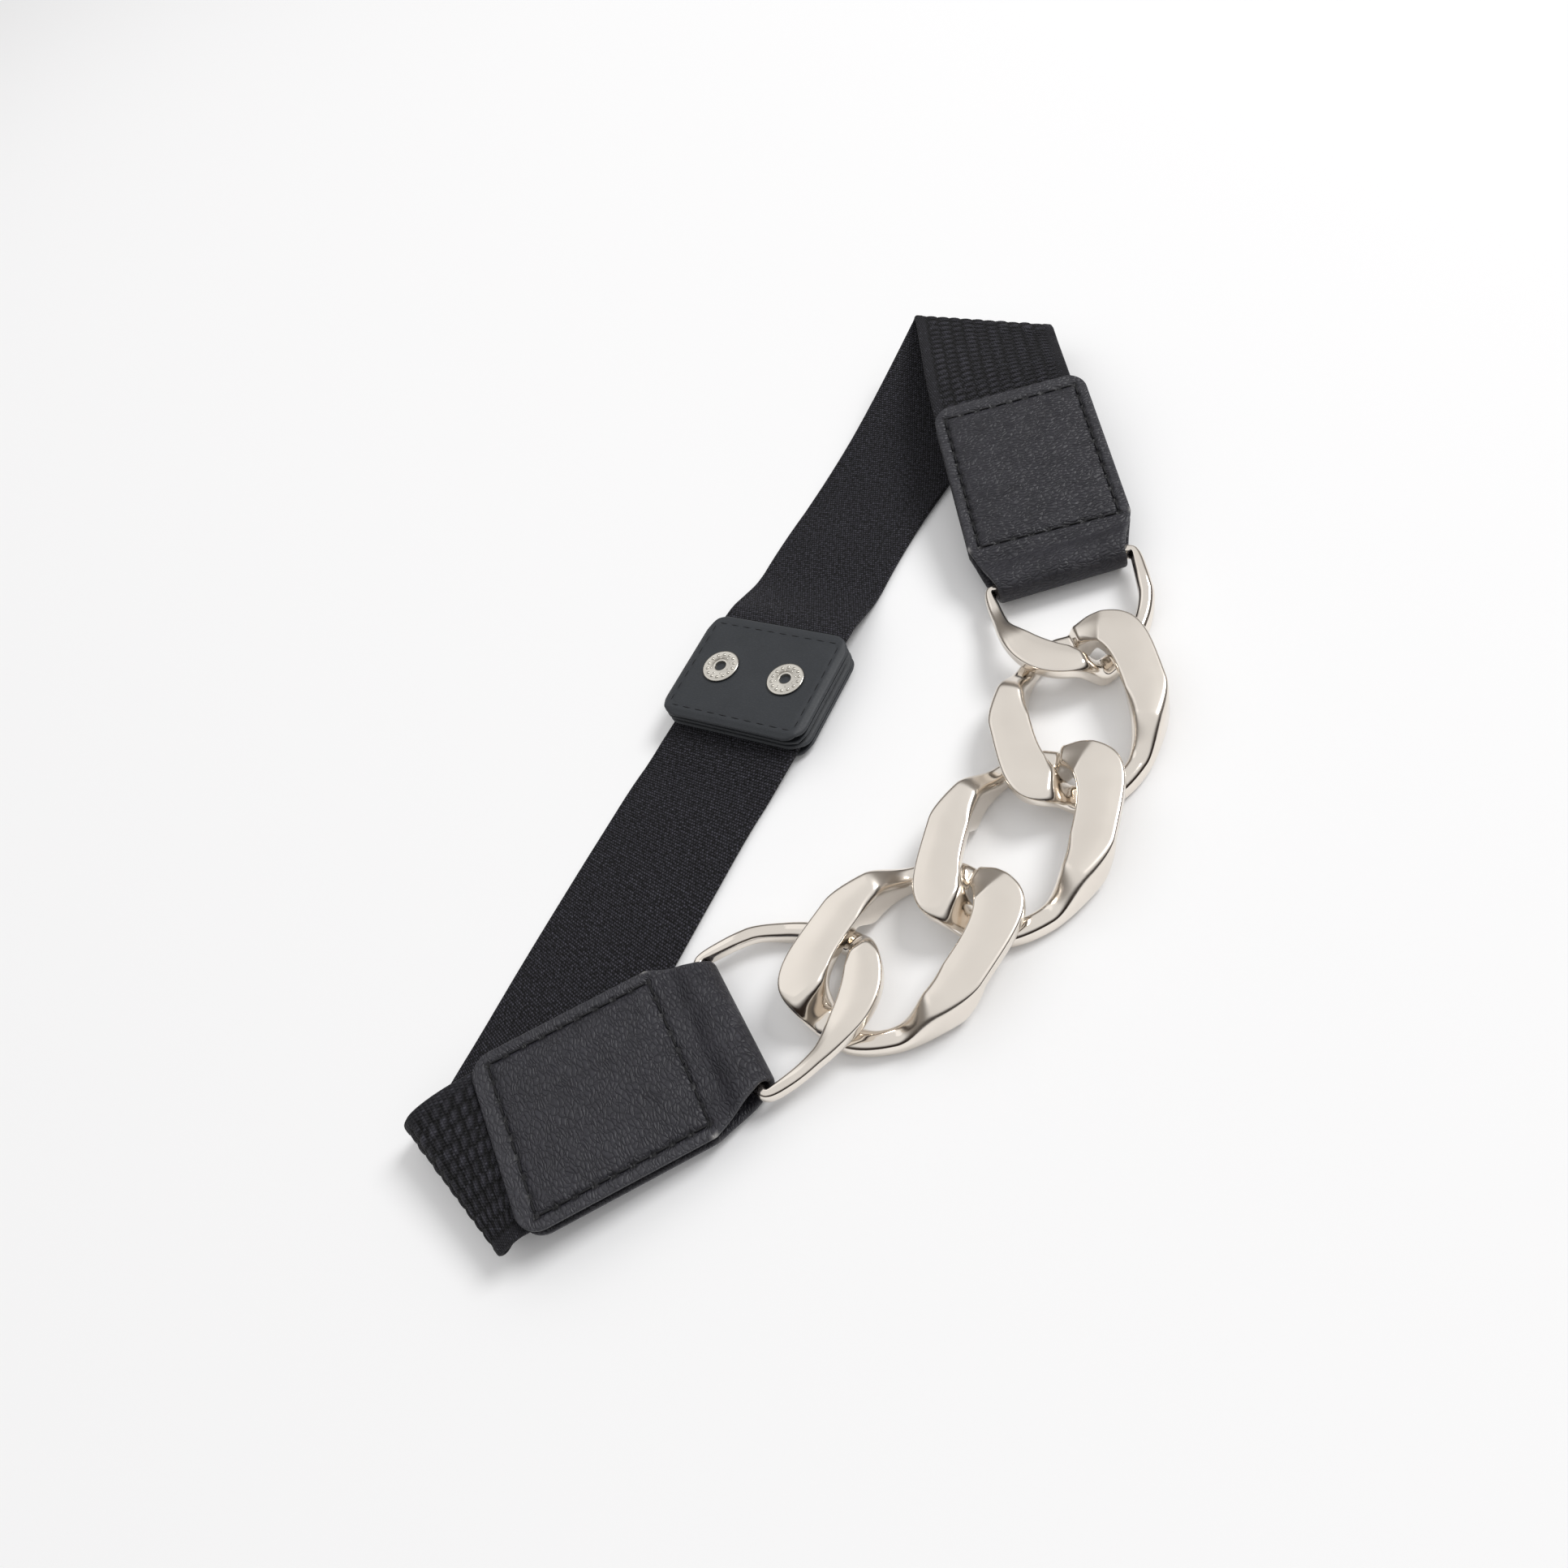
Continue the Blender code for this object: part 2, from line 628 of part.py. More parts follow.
def add_hole_cutters(collection, frame):
    cutters = []
    for number, place in enumerate(stud_places(), 1):
        name = "stud_hole_" + str(number)
        mesh = bpy.data.meshes.new(name)
        builder = bmesh.new()
        radius = STUD_POST_RADIUS + PIECE_GAP
        bmesh.ops.create_cone(
            builder, cap_ends=True, segments=HOLE_STEPS,
            radius1=radius, radius2=radius, depth=CUTTER_DEPTH,
        )
        builder.to_mesh(mesh)
        builder.free()
        cutter = bpy.data.objects.new(name, mesh)
        collection.objects.link(cutter)
        cutter.parent = frame
        cutter.location = place
        cutter.hide_render = True
        cutter.display_type = "WIRE"
        cutters.append(cutter)
    return cutters


# Elastic straps: patch, back run, fold, front run and the end inside the tab

def fold_rulings(spec):
    heading = plan_direction(spec["heading"])
    ramp, roll, lead, cone, turn = (
        math.radians(spec[key]) for key in ("ramp", "roll", "lead", "cone", "turn")
    )
    along = heading * math.cos(ramp) + Vector((0.0, 0.0, math.sin(ramp)))
    across = Matrix.Rotation(roll, 3, along) @ right_of(heading)
    up = across.cross(along)
    start = across * math.cos(lead) + along * math.sin(lead)
    axis = start * math.cos(cone) + up * math.sin(cone)
    middle_slant = lead + turn * math.sin(cone) / 2
    tight = spec["tight"] * ELASTIC_THICK
    tip_distance = tight * math.cos(middle_slant) / math.sin(cone)
    rulings = []
    for step in range(FOLD_STEPS + 1):
        angle = turn * step / FOLD_STEPS
        slant = lead + angle * math.sin(cone)
        ray = Matrix.Rotation(angle, 3, axis) @ start
        left = ray * tip_distance / math.cos(slant)
        right = ray * (tip_distance + ELASTIC_WIDTH) / math.cos(slant)
        rulings.append((left, right))
    onward = ray * math.sin(slant) + axis.cross(ray).normalized() * math.cos(slant)
    return rulings, onward


def band_in_tab(spec, plane, back):
    # The band's two edges at a distance back from the bar, on the tab's middle plane
    middle = spec["entry"] * ELASTIC_WIDTH
    sides = (middle - ELASTIC_WIDTH / 2, middle + ELASTIC_WIDTH / 2)
    return tuple(plane.point(back, side, 0.0) for side in sides)


def placed_fold(spec, plane):
    # The left edge runs straight on to the tab, and the band's right edge lies on the table
    rulings, onward = fold_rulings(spec)
    tab_left = band_in_tab(spec, plane, plane.end)[0]
    tip = tab_left - onward * spec["run"] * ELASTIC_WIDTH - rulings[-1][0]
    tip.z = FLOOR_LEVEL - rulings[0][1].z
    return [(left + tip, right + tip) for left, right in rulings], onward


def eased(start, start_pull, stop, stop_pull, share):
    # A curve from start to stop that leaves along start_pull and arrives along stop_pull
    square, cube = share ** 2, share ** 3
    return (
        start * (2 * cube - 3 * square + 1) + start_pull * (cube - 2 * square + share)
        + stop * (3 * square - 2 * cube) + stop_pull * (cube - square)
    )


def patch_lines(name, level):
    # Two lines across the band: its end inside the patch, and where it leaves the patch
    heading = PATCH_HEADING if name == "elastic_upper" else PATCH_HEADING + HALF_TURN
    along = plan_direction(heading)
    across = right_of(along) * ELASTIC_WIDTH / 2
    centre = patch_centre(name) + Vector((0.0, 0.0, level))
    inner = centre - along * (PATCH_LENGTH / 2 - ELASTIC_END_INSET)
    leaving = centre + along * PATCH_LENGTH / 2
    return [(inner - across, inner + across), (leaving - across, leaving + across)]


def back_run_rows(name, start, stop):
    run = (stop[0] + stop[1] - start[0] - start[1]) / 2
    swing = right_of(run.normalized()) * -ELASTIC_WIDTH
    rows = []
    for row in BACK_RUNS[name]:
        edges = []
        for side, key in ((0, "left"), (1, "right")):
            point = start[side].lerp(stop[side], row["along"]) + swing * row["bow"]
            dropped = (start[side].z - FLOOR_LEVEL) * (1.0 - row["drop"])
            lifted = (stop[side].z - FLOOR_LEVEL) * row[key]
            point.z = FLOOR_LEVEL + dropped + lifted
            edges.append(point)
        rows.append(tuple(edges))
    return rows


def front_run_rows(fold_line, onward, tab_line, plane):
    rows = []
    for step in range(1, FRONT_STEPS):
        edges = []
        for side in (0, 1):
            length = (tab_line[side] - fold_line[side]).length
            pulls = (onward * length, plane.panel_axes[0] * -length)
            edges.append(
                eased(fold_line[side], pulls[0], tab_line[side], pulls[1], step / FRONT_STEPS)
            )
        rows.append(tuple(edges))
    return rows


def build_elastic(name, levels, plane, cutters, collection, frame):
    patch = patch_lines(name, levels[name])
    fold, onward = placed_fold(FOLDS[name], plane)
    inside_tab = [
        band_in_tab(FOLDS[name], plane, back)
        for back in (plane.end, (plane.end + TAB_LOOP) / 2, TAB_LOOP + ELASTIC_END_INSET)
    ]
    rows = patch + back_run_rows(name, patch[1], fold[0]) + fold
    rows += front_run_rows(fold[-1], onward, inside_tab[0], plane) + inside_tab
    piece = ribbon(name, rows, ELASTIC_THICK, "elastic", collection, frame)
    for cutter in cutters:
        hole = piece.modifiers.new(cutter.name, "BOOLEAN")
        hole.operation = "DIFFERENCE"
        hole.solver = "EXACT"
        hole.object = cutter


def centre_on_table(frame, collection):
    # Moves the frame so that the middle of the belt's outline is at the origin
    depsgraph = bpy.context.evaluated_depsgraph_get()
    lows = [math.inf, math.inf]
    highs = [-math.inf, -math.inf]
    for piece in collection.objects:
        if piece.type != "MESH":
            continue
        drawn = piece.evaluated_get(depsgraph)
        for vertex in drawn.data.vertices:
            place = drawn.matrix_world @ vertex.co
            for axis in (0, 1):
                lows[axis] = min(lows[axis], place[axis])
                highs[axis] = max(highs[axis], place[axis])
    frame.location.x = -(lows[0] + highs[0]) / 2
    frame.location.y = -(lows[1] + highs[1]) / 2


def build_belt():
    for old in list(bpy.data.objects):
        bpy.data.objects.remove(old, do_unlink=True)
    belt = bpy.data.collections.new("elastic_belt")
    cutting = bpy.data.collections.new("cutters")
    for collection in (belt, cutting):
        bpy.context.scene.collection.children.link(collection)
    frame = bpy.data.objects.new("belt_frame", None)
    belt.objects.link(frame)

    places = build_chain(belt, frame)
    planes = {name: build_tab(name, places, belt, frame) for name in TABS}
    levels = patch_levels()
    for name, level in levels.items():
        if name.startswith("patch"):
            build_patch(name, level, belt, frame)
    for number, place in enumerate(stud_places(), 1):
        build_stud("stud_" + str(number), place, levels["stud_top"], belt, frame)
    cutters = add_hole_cutters(cutting, frame)
    for name, spec in FOLDS.items():
        build_elastic(name, levels, planes[spec["tab"]], cutters, belt, frame)
    bpy.context.view_layer.update()
    centre_on_table(frame, belt)


build_belt()
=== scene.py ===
import math

import bmesh
import bpy
import numpy as np
from mathutils import Matrix, Vector


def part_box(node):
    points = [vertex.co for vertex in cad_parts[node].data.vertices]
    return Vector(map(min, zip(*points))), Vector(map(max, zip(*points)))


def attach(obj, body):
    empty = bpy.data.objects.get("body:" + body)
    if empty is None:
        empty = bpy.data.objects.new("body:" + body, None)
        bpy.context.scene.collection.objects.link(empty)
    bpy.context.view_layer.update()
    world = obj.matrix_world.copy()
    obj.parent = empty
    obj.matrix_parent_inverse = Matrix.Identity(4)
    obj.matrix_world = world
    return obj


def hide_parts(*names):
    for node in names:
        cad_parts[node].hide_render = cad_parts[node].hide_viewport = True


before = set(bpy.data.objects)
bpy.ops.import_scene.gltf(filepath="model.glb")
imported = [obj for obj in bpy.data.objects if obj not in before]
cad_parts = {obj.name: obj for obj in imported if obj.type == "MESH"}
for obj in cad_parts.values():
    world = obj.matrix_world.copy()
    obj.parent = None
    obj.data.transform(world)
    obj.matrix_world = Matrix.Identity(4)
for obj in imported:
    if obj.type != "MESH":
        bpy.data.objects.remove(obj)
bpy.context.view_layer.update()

mm = 0.001  # all shapes below are worked out in millimetres
weldReach = 1e-6  # metres between points that are made one

# Sizes that several pieces share
belt = {
    "bandWidth": 39.0,
    "bandThick": 1.5,
    "gap": 0.3,  # air between layers that lie on one another
    "edgeShare": 0.35,  # of a sheet's thickness is left at its very edge
}


# Directions, blends and meshes

def smooth(share):
    share = np.clip(share, 0.0, 1.0)
    return share * share * (3.0 - 2.0 * share)


def bell(distance, reach):
    return np.exp(-(distance / reach) ** 2)


def between(first, second, share):
    return first * (1 - share) + second * share


def planDirection(degrees):
    angle = math.radians(degrees)
    return np.array((math.cos(angle), math.sin(angle), 0.0))


def rightOf(direction):
    return np.array((direction[1], -direction[0], 0.0))


def unit(vectors):
    return vectors / np.linalg.norm(vectors, axis=-1, keepdims=True)


def turned(vector, axis, degrees):
    angle, axis = math.radians(degrees), unit(axis)
    return (
        vector * math.cos(angle)
        + np.cross(axis, vector) * math.sin(angle)
        + axis * np.dot(axis, vector) * (1.0 - math.cos(angle))
    )


def runningLength(points):
    steps = np.linalg.norm(np.diff(points, axis=0), axis=1)
    return np.concatenate(([0.0], np.cumsum(steps)))


def gridFaces(rows, columns, closedRows=False, closedColumns=False, flip=False):
    faces = []
    for r in range(rows if closedRows else rows - 1):
        nextRow = (r + 1) % rows
        for c in range(columns if closedColumns else columns - 1):
            nextColumn = (c + 1) % columns
            quad = (
                r * columns + c, r * columns + nextColumn,
                nextRow * columns + nextColumn, nextRow * columns + c,
            )
            faces.append(quad[::-1] if flip else quad)
    return faces


def addToScene(name, data):
    thing = bpy.data.objects.new(name, data)
    bpy.context.scene.collection.objects.link(thing)
    return thing


def makeObject(name, points, faces, material, uv=None, masks=None):
    mesh = bpy.data.meshes.new(name)
    mesh.from_pydata((np.asarray(points) * mm).tolist(), [], faces)
    if uv is not None:
        layer = mesh.uv_layers.new(name="flat")
        corners = np.empty(len(mesh.loops), np.int32)
        mesh.loops.foreach_get("vertex_index", corners)
        layer.data.foreach_set("uv", np.asarray(uv, np.float32)[corners].ravel())
    for label, values in (masks or {}).items():
        layer = mesh.attributes.new(label, "FLOAT", "POINT")
        layer.data.foreach_set("value", np.asarray(values, np.float32))
    mesh.shade_smooth()
    mesh.materials.append(material)
    piece = addToScene(name, mesh)
    piece.location = (shift[0] * mm, shift[1] * mm, 0.0)
    return piece


def turnFacesOut(piece, weld=False):
    builder = bmesh.new()
    builder.from_mesh(piece.data)
    if weld:
        bmesh.ops.remove_doubles(builder, verts=builder.verts, dist=weldReach)
    bmesh.ops.recalc_face_normals(builder, faces=builder.faces)
    builder.to_mesh(piece.data)
    builder.free()


def settle(piece, node=None):
    if node:
        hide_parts(node)
    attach(piece, "root")


def surfaceNormals(mid):
    return unit(np.cross(np.gradient(mid, axis=1), np.gradient(mid, axis=0)))


def edgeRounding(distance, radius):
    # Share of the thickness: 1 from radius inward, and a quarter circle towards the edge
    share = np.clip(distance / radius, 0.0, 1.0)
    rise = np.sqrt(1.0 - (1.0 - share) ** 2)
    return belt["edgeShare"] + (1.0 - belt["edgeShare"]) * rise


def sheetObject(name, material, mid, normal, thick, relief, rounding, uv, masks):
    # A closed sheet round its middle surface: relief and masks for the top and the low face
    rows, columns = mid.shape[:2]
    thin = thick / 2 * rounding
    top = mid + normal * (thin + relief[0] * rounding)[..., None]
    low = mid - normal * (thin + relief[1] * rounding)[..., None]
    points = np.concatenate((top.reshape(-1, 3), low.reshape(-1, 3)))
    count = rows * columns
    faces = gridFaces(rows, columns)
    faces += [tuple(count + i for i in face[::-1]) for face in faces]
    rim = [r * columns for r in range(rows)]
    rim += [(rows - 1) * columns + c for c in range(1, columns)]
    rim += [r * columns + columns - 1 for r in range(rows - 2, -1, -1)]
    rim += range(columns - 2, 0, -1)
    for here, after in zip(rim, rim[1:] + rim[:1]):
        faces.append((here, after, count + after, count + here))
    flat = np.concatenate((uv.reshape(-1, 2), uv.reshape(-1, 2)))
    values = {k: np.concatenate((a.ravel(), b.ravel())) for k, (a, b) in masks.items()}
    piece = makeObject(name, points, faces, material, flat, values)
    turnFacesOut(piece)
    return piece


# Chain: links whose flats lie over and necks pass under, between two end links with bars

chain = {
    "start": (84.3, -0.3),
    "walk": (  # name, slack as a share of a link's length, heading of the step, yaw
        ("end_link_upper", 0.0, 0.0, -107.5),
        ("link_1", 0.0694, -119.7, -108.8),
        ("link_2", 0.0397, -141.9, -132.9),
        ("link_3", 0.0308, -164.1, -151.7),
        ("end_link_lower", 0.1468, 170.1, 3.0),
    ),
    "neckTop": 5.0,
    "air": 0.55,
    "flatThick": 5.15,
    "shoulderDrop": 2.5,
    "tongue": (30.0, 32.0),  # degrees before and after a flat's start that its point takes
    "blunt": (4.0, 9.0),  # degrees past and before a flat's stop that its blunt end takes
    "lookBack": 120.0,  # degrees before a flat's start where counting begins
    "crown": 0.26,
    "crownShares": (0.2, 0.4, 0.6, 0.8),
    # corners, across and down: shares of a neck, mm on a flat, greatest shares of a flat
    "topCorner": {"neck": (0.38, 0.46), "flat": (0.95, 0.6), "most": (0.2, 1.0), "satin": 0.5},
    "baseCorner": {"neck": (0.26, 0.34), "flat": (2.6, 2.8), "most": (0.4, 0.5), "satin": 0.2},
    "satinSpread": 2.2,
    "angleSteps": 288,
    "cornerSteps": 8,
}
link = {
    "length": 50.4,
    "width": 41.2,
    "end": 6.3,
    "flat": 9.5,
    "skew": 5.2,
    "outerPowers": (4.5, 1.55),  # on the flats' side and on the necks' side
    "holePowers": (3.2, 2.2),
    "flats": ((239.7, 330.8), (59.7, 166.5)),
}
endLink = {
    "reach": 23.5,
    "head": 6.4,
    "width": 39.6,
    "leg": 3.8,
    "skew": 2.6,
    "barDistance": 13.8,
    "barThick": 3.6,
    "barFlat": 0.8,  # share of a face of the solid bar that its bevels leave flat
    "splayOuter": 0.05,
    "splayInner": 0.12,
    "cornerOuter": 7,
    "cornerInner": 48,
    "outerPowers": (2.4, 1.5),
    "holePowers": (1.4, 1.45),
    "flats": ((272.0, 351.5),),
}
under = chain["neckTop"]
overBottom = under + chain["air"]
overTop = overBottom + chain["flatThick"]
shoulder = overTop - chain["shoulderDrop"]
barHeight = overTop / 2
barTop = barHeight + endLink["barThick"] / 2
barBottom = barHeight - endLink["barThick"] / 2
link["top"] = (  # angle from the +x end, level; True where a straight facet starts
    (171.0, under), (208.0, under), (239.7, overTop), (330.8, overTop),
    (344.3, under), (388.0, under), (419.7, overTop), (513.0, overTop, True),
    (527.5, shoulder),
)
link["bottom"] = (
    (165.7, 0.0), (250.3, 0.0), (279.0, overBottom), (333.1, overBottom),
    (345.7, 0.0), (430.3, 0.0), (459.0, overBottom), (513.1, overBottom),
)
endLink["top"] = (
    (-8.5, overTop), (7.3, under), (60.0, under),
    (105.0, barTop), (250.0, barTop), (300.0, overTop),
)
endLink["bottom"] = (
    (-14.0, overBottom), (4.1, 0.0), (55.0, 0.0),
    (105.0, barBottom), (250.0, barBottom), (290.0, overBottom),
)


def superellipse(angle, halfLength, halfWidth, power):
    along = np.abs(np.cos(angle)) / halfLength
    across = np.abs(np.sin(angle)) / halfWidth
    return (along ** power + across ** power) ** (-1.0 / power)


def linkRadius(angle, halfLength, halfWidth, powers):
    over = superellipse(angle, halfLength, halfWidth, powers[0])
    neck = superellipse(angle, halfLength, halfWidth, powers[1])
    return np.where(np.cos(angle) * np.sin(angle) < 0.0, over, neck)


def endLinkRadius(angle, halfLength, halfWidth, powers, barFace, splay, power):
    # A link's head, and splayed legs that turn into the straight bar
    along, across = np.cos(angle), np.sin(angle)
    tiny = 0.001
    head = linkRadius(angle, halfLength, halfWidth, powers)
    leg = halfWidth / np.maximum(np.abs(across) - splay * np.abs(along), tiny)
    bar = barFace / np.maximum(np.abs(along), tiny)
    heel = (leg ** -power + bar ** -power) ** (-1.0 / power)
    return np.where(along > 0.0, head, heel)


def linkSizes(outerAngle, innerAngle):
    halfLength, halfWidth = link["length"] / 2, link["width"] / 2
    holeLength, holeWidth = halfLength - link["end"], halfWidth - link["flat"]
    return (
        linkRadius(outerAngle, halfLength, halfWidth, link["outerPowers"]),
        linkRadius(innerAngle, holeLength, holeWidth, link["holePowers"]),
    )


def endLinkSizes(outerAngle, innerAngle):
    halfWidth, thick = endLink["width"] / 2, endLink["barThick"] / 2
    return (
        endLinkRadius(
            outerAngle, endLink["reach"], halfWidth, endLink["outerPowers"],
            endLink["barDistance"] + thick, endLink["splayOuter"], endLink["cornerOuter"],
        ),
        endLinkRadius(
            innerAngle, endLink["reach"] - endLink["head"], halfWidth - endLink["leg"],
            endLink["holePowers"], endLink["barDistance"] - thick, endLink["splayInner"],
            endLink["cornerInner"],
        ),
    )


def heightAt(table, degrees):
    angles = np.array([row[0] for row in table] + [table[0][0] + 360.0])
    heights = np.array([row[1] for row in table] + [table[0][1]])
    straight = np.array([len(row) > 2 for row in table])
    turn = (degrees - angles[0]) % 360.0 + angles[0]
    index = np.clip(np.searchsorted(angles, turn, side="right") - 1, 0, len(table) - 1)
    share = (turn - angles[index]) / (angles[index + 1] - angles[index])
    share = np.where(straight[index], share, smooth(share))
    return heights[index] + (heights[index + 1] - heights[index]) * share


def flatness(flats, degrees):
    # 1 on a flat and 0 on a neck: a long tongue at the flat's start and a blunt end
    total = np.zeros_like(degrees)
    before, after = chain["tongue"]
    past, back = chain["blunt"]
    for start, stop in flats:
        turn = (degrees - start + chain["lookBack"]) % 360.0 + start - chain["lookBack"]
        rise = np.clip((turn - start + before) / (before + after), 0.0, 1.0)
        fall = smooth((stop + past - turn) / (past + back))
        total = np.maximum(total, rise * fall)
    return total


def cornerSize(corner, width, thick, flat):
    return [
        size * neck * (1.0 - flat) + np.minimum(onFlat, size * most) * flat
        for size, neck, onFlat, most in zip(
            (width, thick), corner["neck"], corner["flat"], corner["most"],
        )
    ]


def sectionCorner(fromDegrees, centre, size, level, satin):
    # A quarter of an ellipse, clockwise: across, level, and how satin the metal is
    rows = []
    for step in range(chain["cornerSteps"] + 1):
        angle = math.radians(fromDegrees - 90.0 * step / chain["cornerSteps"])
        rows.append((
            centre + size[0] * math.cos(angle), level + size[1] * math.sin(angle),
            max(math.sin(angle), satin),
        ))
    return rows


def ringPoints(outer, inner, low, high, flat):
    # A section at every angle: a crowned top and a base, joined by elliptical corners
    width = np.linalg.norm(outer - inner, axis=1)
    crown = chain["crown"] * flat
    top = cornerSize(chain["topCorner"], width, high - low, flat)
    base = cornerSize(chain["baseCorner"], width, high - low, flat)
    topLevel, topSatin = high - crown - top[1], chain["topCorner"]["satin"]
    baseLevel, baseSatin = low + base[1], chain["baseCorner"]["satin"]
    section = sectionCorner(180.0, top[0], top, topLevel, topSatin)
    section += [
        (top[0] + (width - 2 * top[0]) * share, high - crown * (2 * share - 1) ** 2, 1.0)
        for share in chain["crownShares"]
    ]
    section += sectionCorner(90.0, width - top[0], top, topLevel, topSatin)
    section += sectionCorner(0.0, width - base[0], base, baseLevel, baseSatin)
    section += sectionCorner(-90.0, base[0], base, baseLevel, baseSatin)
    share = np.stack([row[0] for row in section], 1) / width[:, None]
    plan = between(inner[:, None, :], outer[:, None, :], share[:, :, None])
    heights = np.stack([row[1] for row in section], 1)
    satin = np.array([row[2] for row in section])
    return np.dstack((plan, heights)), satin * smooth(flat * chain["satinSpread"])[:, None]


def buildRing(name, place, yaw):
    isEnd = name.startswith("end_link")
    spec = endLink if isEnd else link
    degrees = np.arange(chain["angleSteps"]) * 360.0 / chain["angleSteps"]
    lengthwise = np.cos(np.radians(degrees))
    if isEnd:
        lengthwise = np.maximum(lengthwise, 0.0)  # only the head leans
    skew = spec["skew"] * lengthwise ** 2 / 2
    angles = (np.radians(degrees + skew), np.radians(degrees - skew))
    sizes = endLinkSizes(*angles) if isEnd else linkSizes(*angles)
    outer, inner = (
        np.stack((np.cos(angle), np.sin(angle)), 1) * size[:, None]
        for angle, size in zip(angles, sizes)
    )
    low, high = heightAt(spec["bottom"], degrees), heightAt(spec["top"], degrees)
    points, satin = ringPoints(outer, inner, low, high, flatness(spec["flats"], degrees))
    turn = math.radians(yaw)
    x = points[:, :, 0] * math.cos(turn) - points[:, :, 1] * math.sin(turn) + place[0]
    y = points[:, :, 0] * math.sin(turn) + points[:, :, 1] * math.cos(turn) + place[1]
    placed = np.dstack((x, y, points[:, :, 2])).reshape(-1, 3)
    faces = gridFaces(*satin.shape, closedRows=True, closedColumns=True, flip=True)
    masks = {"satin": satin.ravel()}
    piece = makeObject("metal_" + name, placed, faces, chainMetal, masks=masks)
    settle(piece, name)


def chainPlaces():
    places, reachBefore = {}, 0.0
    centre = np.array(chain["start"])
    for name, slack, heading, yaw in chain["walk"]:
        reach = link["length"] / 2 - link["end"]
        if name.startswith("end_link"):
            reach = endLink["reach"] - endLink["head"]
        if places:
            step = reachBefore + reach - slack * link["length"]
            centre = centre + planDirection(heading)[:2] * step
        places[name] = (centre, yaw)
        reachBefore = reach
    return places


places = chainPlaces()
lowCorner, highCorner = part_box("link_1")
linkMiddle = (np.array(lowCorner) + np.array(highCorner)) / 2 / mm
shift = linkMiddle[:2] - places["link_1"][0]  # from the layout's zero to the frame's origin
print("layout shifted by", np.round(shift, 2), "mm")


# Shader nodes, used by the studio and by the materials

def feed(tree, node, values):
    # Constants are set on the node's own sockets, and other nodes' outputs are linked
    for label, value in values.items():
        if isinstance(value, (int, float, tuple)):
            node.inputs[label].default_value = value
        else:
            tree.links.new(value, node.inputs[label])


def addNode(tree, kind, values=None, **settings):
    node = tree.nodes.new("ShaderNode" + kind)
    for label, value in settings.items():
        setattr(node, label, value)
    feed(tree, node, values or {})
    return node


def mathNode(tree, operation, *values, clamp=False):
    values = dict(enumerate(values))
    return addNode(tree, "Math", values, operation=operation, use_clamp=clamp).outputs[0]


def mixColors(tree, factor, first, second):
    first, second = ((*c, 1.0) if isinstance(c, tuple) else c for c in (first, second))
    values = {0: factor, 6: first, 7: second}  # the Mix node's colour sockets
    return addNode(tree, "Mix", values, data_type="RGBA").outputs[2]


def softRange(tree, value, low, high, start=0.0, stop=1.0):
    values = {"Value": value, "From Min": low, "From Max": high, "To Min": start, "To Max": stop}
    return addNode(tree, "MapRange", values, interpolation_type="SMOOTHSTEP").outputs["Result"]


def noiseNode(tree, vector, scale, detail=2.0):
    return addNode(tree, "TexNoise", {"Vector": vector, "Scale": scale, "Detail": detail})


def bumpNormal(tree, height, strength, distance):
    values = {"Height": height, "Strength": strength, "Distance": distance}
    return addNode(tree, "Bump", values).outputs["Normal"]


def pointMask(tree, label):
    return addNode(tree, "Attribute", attribute_name=label).outputs["Fac"]


def flatMap(tree):
    return addNode(tree, "UVMap", uv_map="flat").outputs["UV"]


def coordinates(tree, kind="Object"):
    return addNode(tree, "TexCoord").outputs[kind]


def newMaterial(name):
    material = bpy.data.materials.new(name)
    material.use_nodes = True
    return material, material.node_tree, material.node_tree.nodes["Principled BSDF"]


# Camera, table and studio light

camera = {
    "focal": 1400.0,  # in pixels of the photo
    "imageWidth": 1932.0,
    "sensor": 36.0,
    "elevation": 51.3,
    "roll": -29.2,
    "distance": 287.5,
    "clip": (0.01, 20.0),
}
studio = {
    "floorSize": 6.0,
    "floorDrop": 0.0003,
    "floorColor": (0.90, 0.902, 0.906),
    "floorGlow": 0.06,
    "floorRough": 0.9,
    "floorShine": 0.1,
    "mirroredFrom": (0.16, 0.34),  # metres over which the table dims where metal mirrors it
    "overhead": (0.79, 0.786, 0.786),
    "horizon": (0.20, 0.185, 0.17),
    "behindCamera": (0.022, 0.015, 0.012),
    "overheadFrom": (0.28, 0.72),
    "aheadFrom": (-0.75, 0.35),
    "lights": (  # name, place, size, power
        ("keyLight", (2.19, 0.12, 2.25), 1.26, 51.0),
        ("fillLight", (-0.35, 0.75, 0.75), 0.9, 0.5),
    ),
}


def addCamera():
    rise, roll = math.radians(camera["elevation"]), math.radians(camera["roll"])
    forward = Vector((0.0, math.cos(rise), -math.sin(rise)))
    level = Vector((1.0, 0.0, 0.0))
    upright = Vector((0.0, math.sin(rise), math.cos(rise)))
    right = level * math.cos(roll) + upright * math.sin(roll)
    up = -level * math.sin(roll) + upright * math.cos(roll)
    data = bpy.data.cameras.new("photoCamera")
    data.sensor_width = camera["sensor"]
    data.lens = camera["focal"] / camera["imageWidth"] * camera["sensor"]
    data.clip_start, data.clip_end = camera["clip"]
    seat = addToScene("photoCamera", data)
    turn = Matrix((right, up, -forward)).transposed()
    target = Vector((shift[0] * mm, shift[1] * mm, 0.0))
    place = target - forward * camera["distance"] * mm
    seat.matrix_world = Matrix.Translation(place) @ turn.to_4x4()
    bpy.context.scene.camera = seat


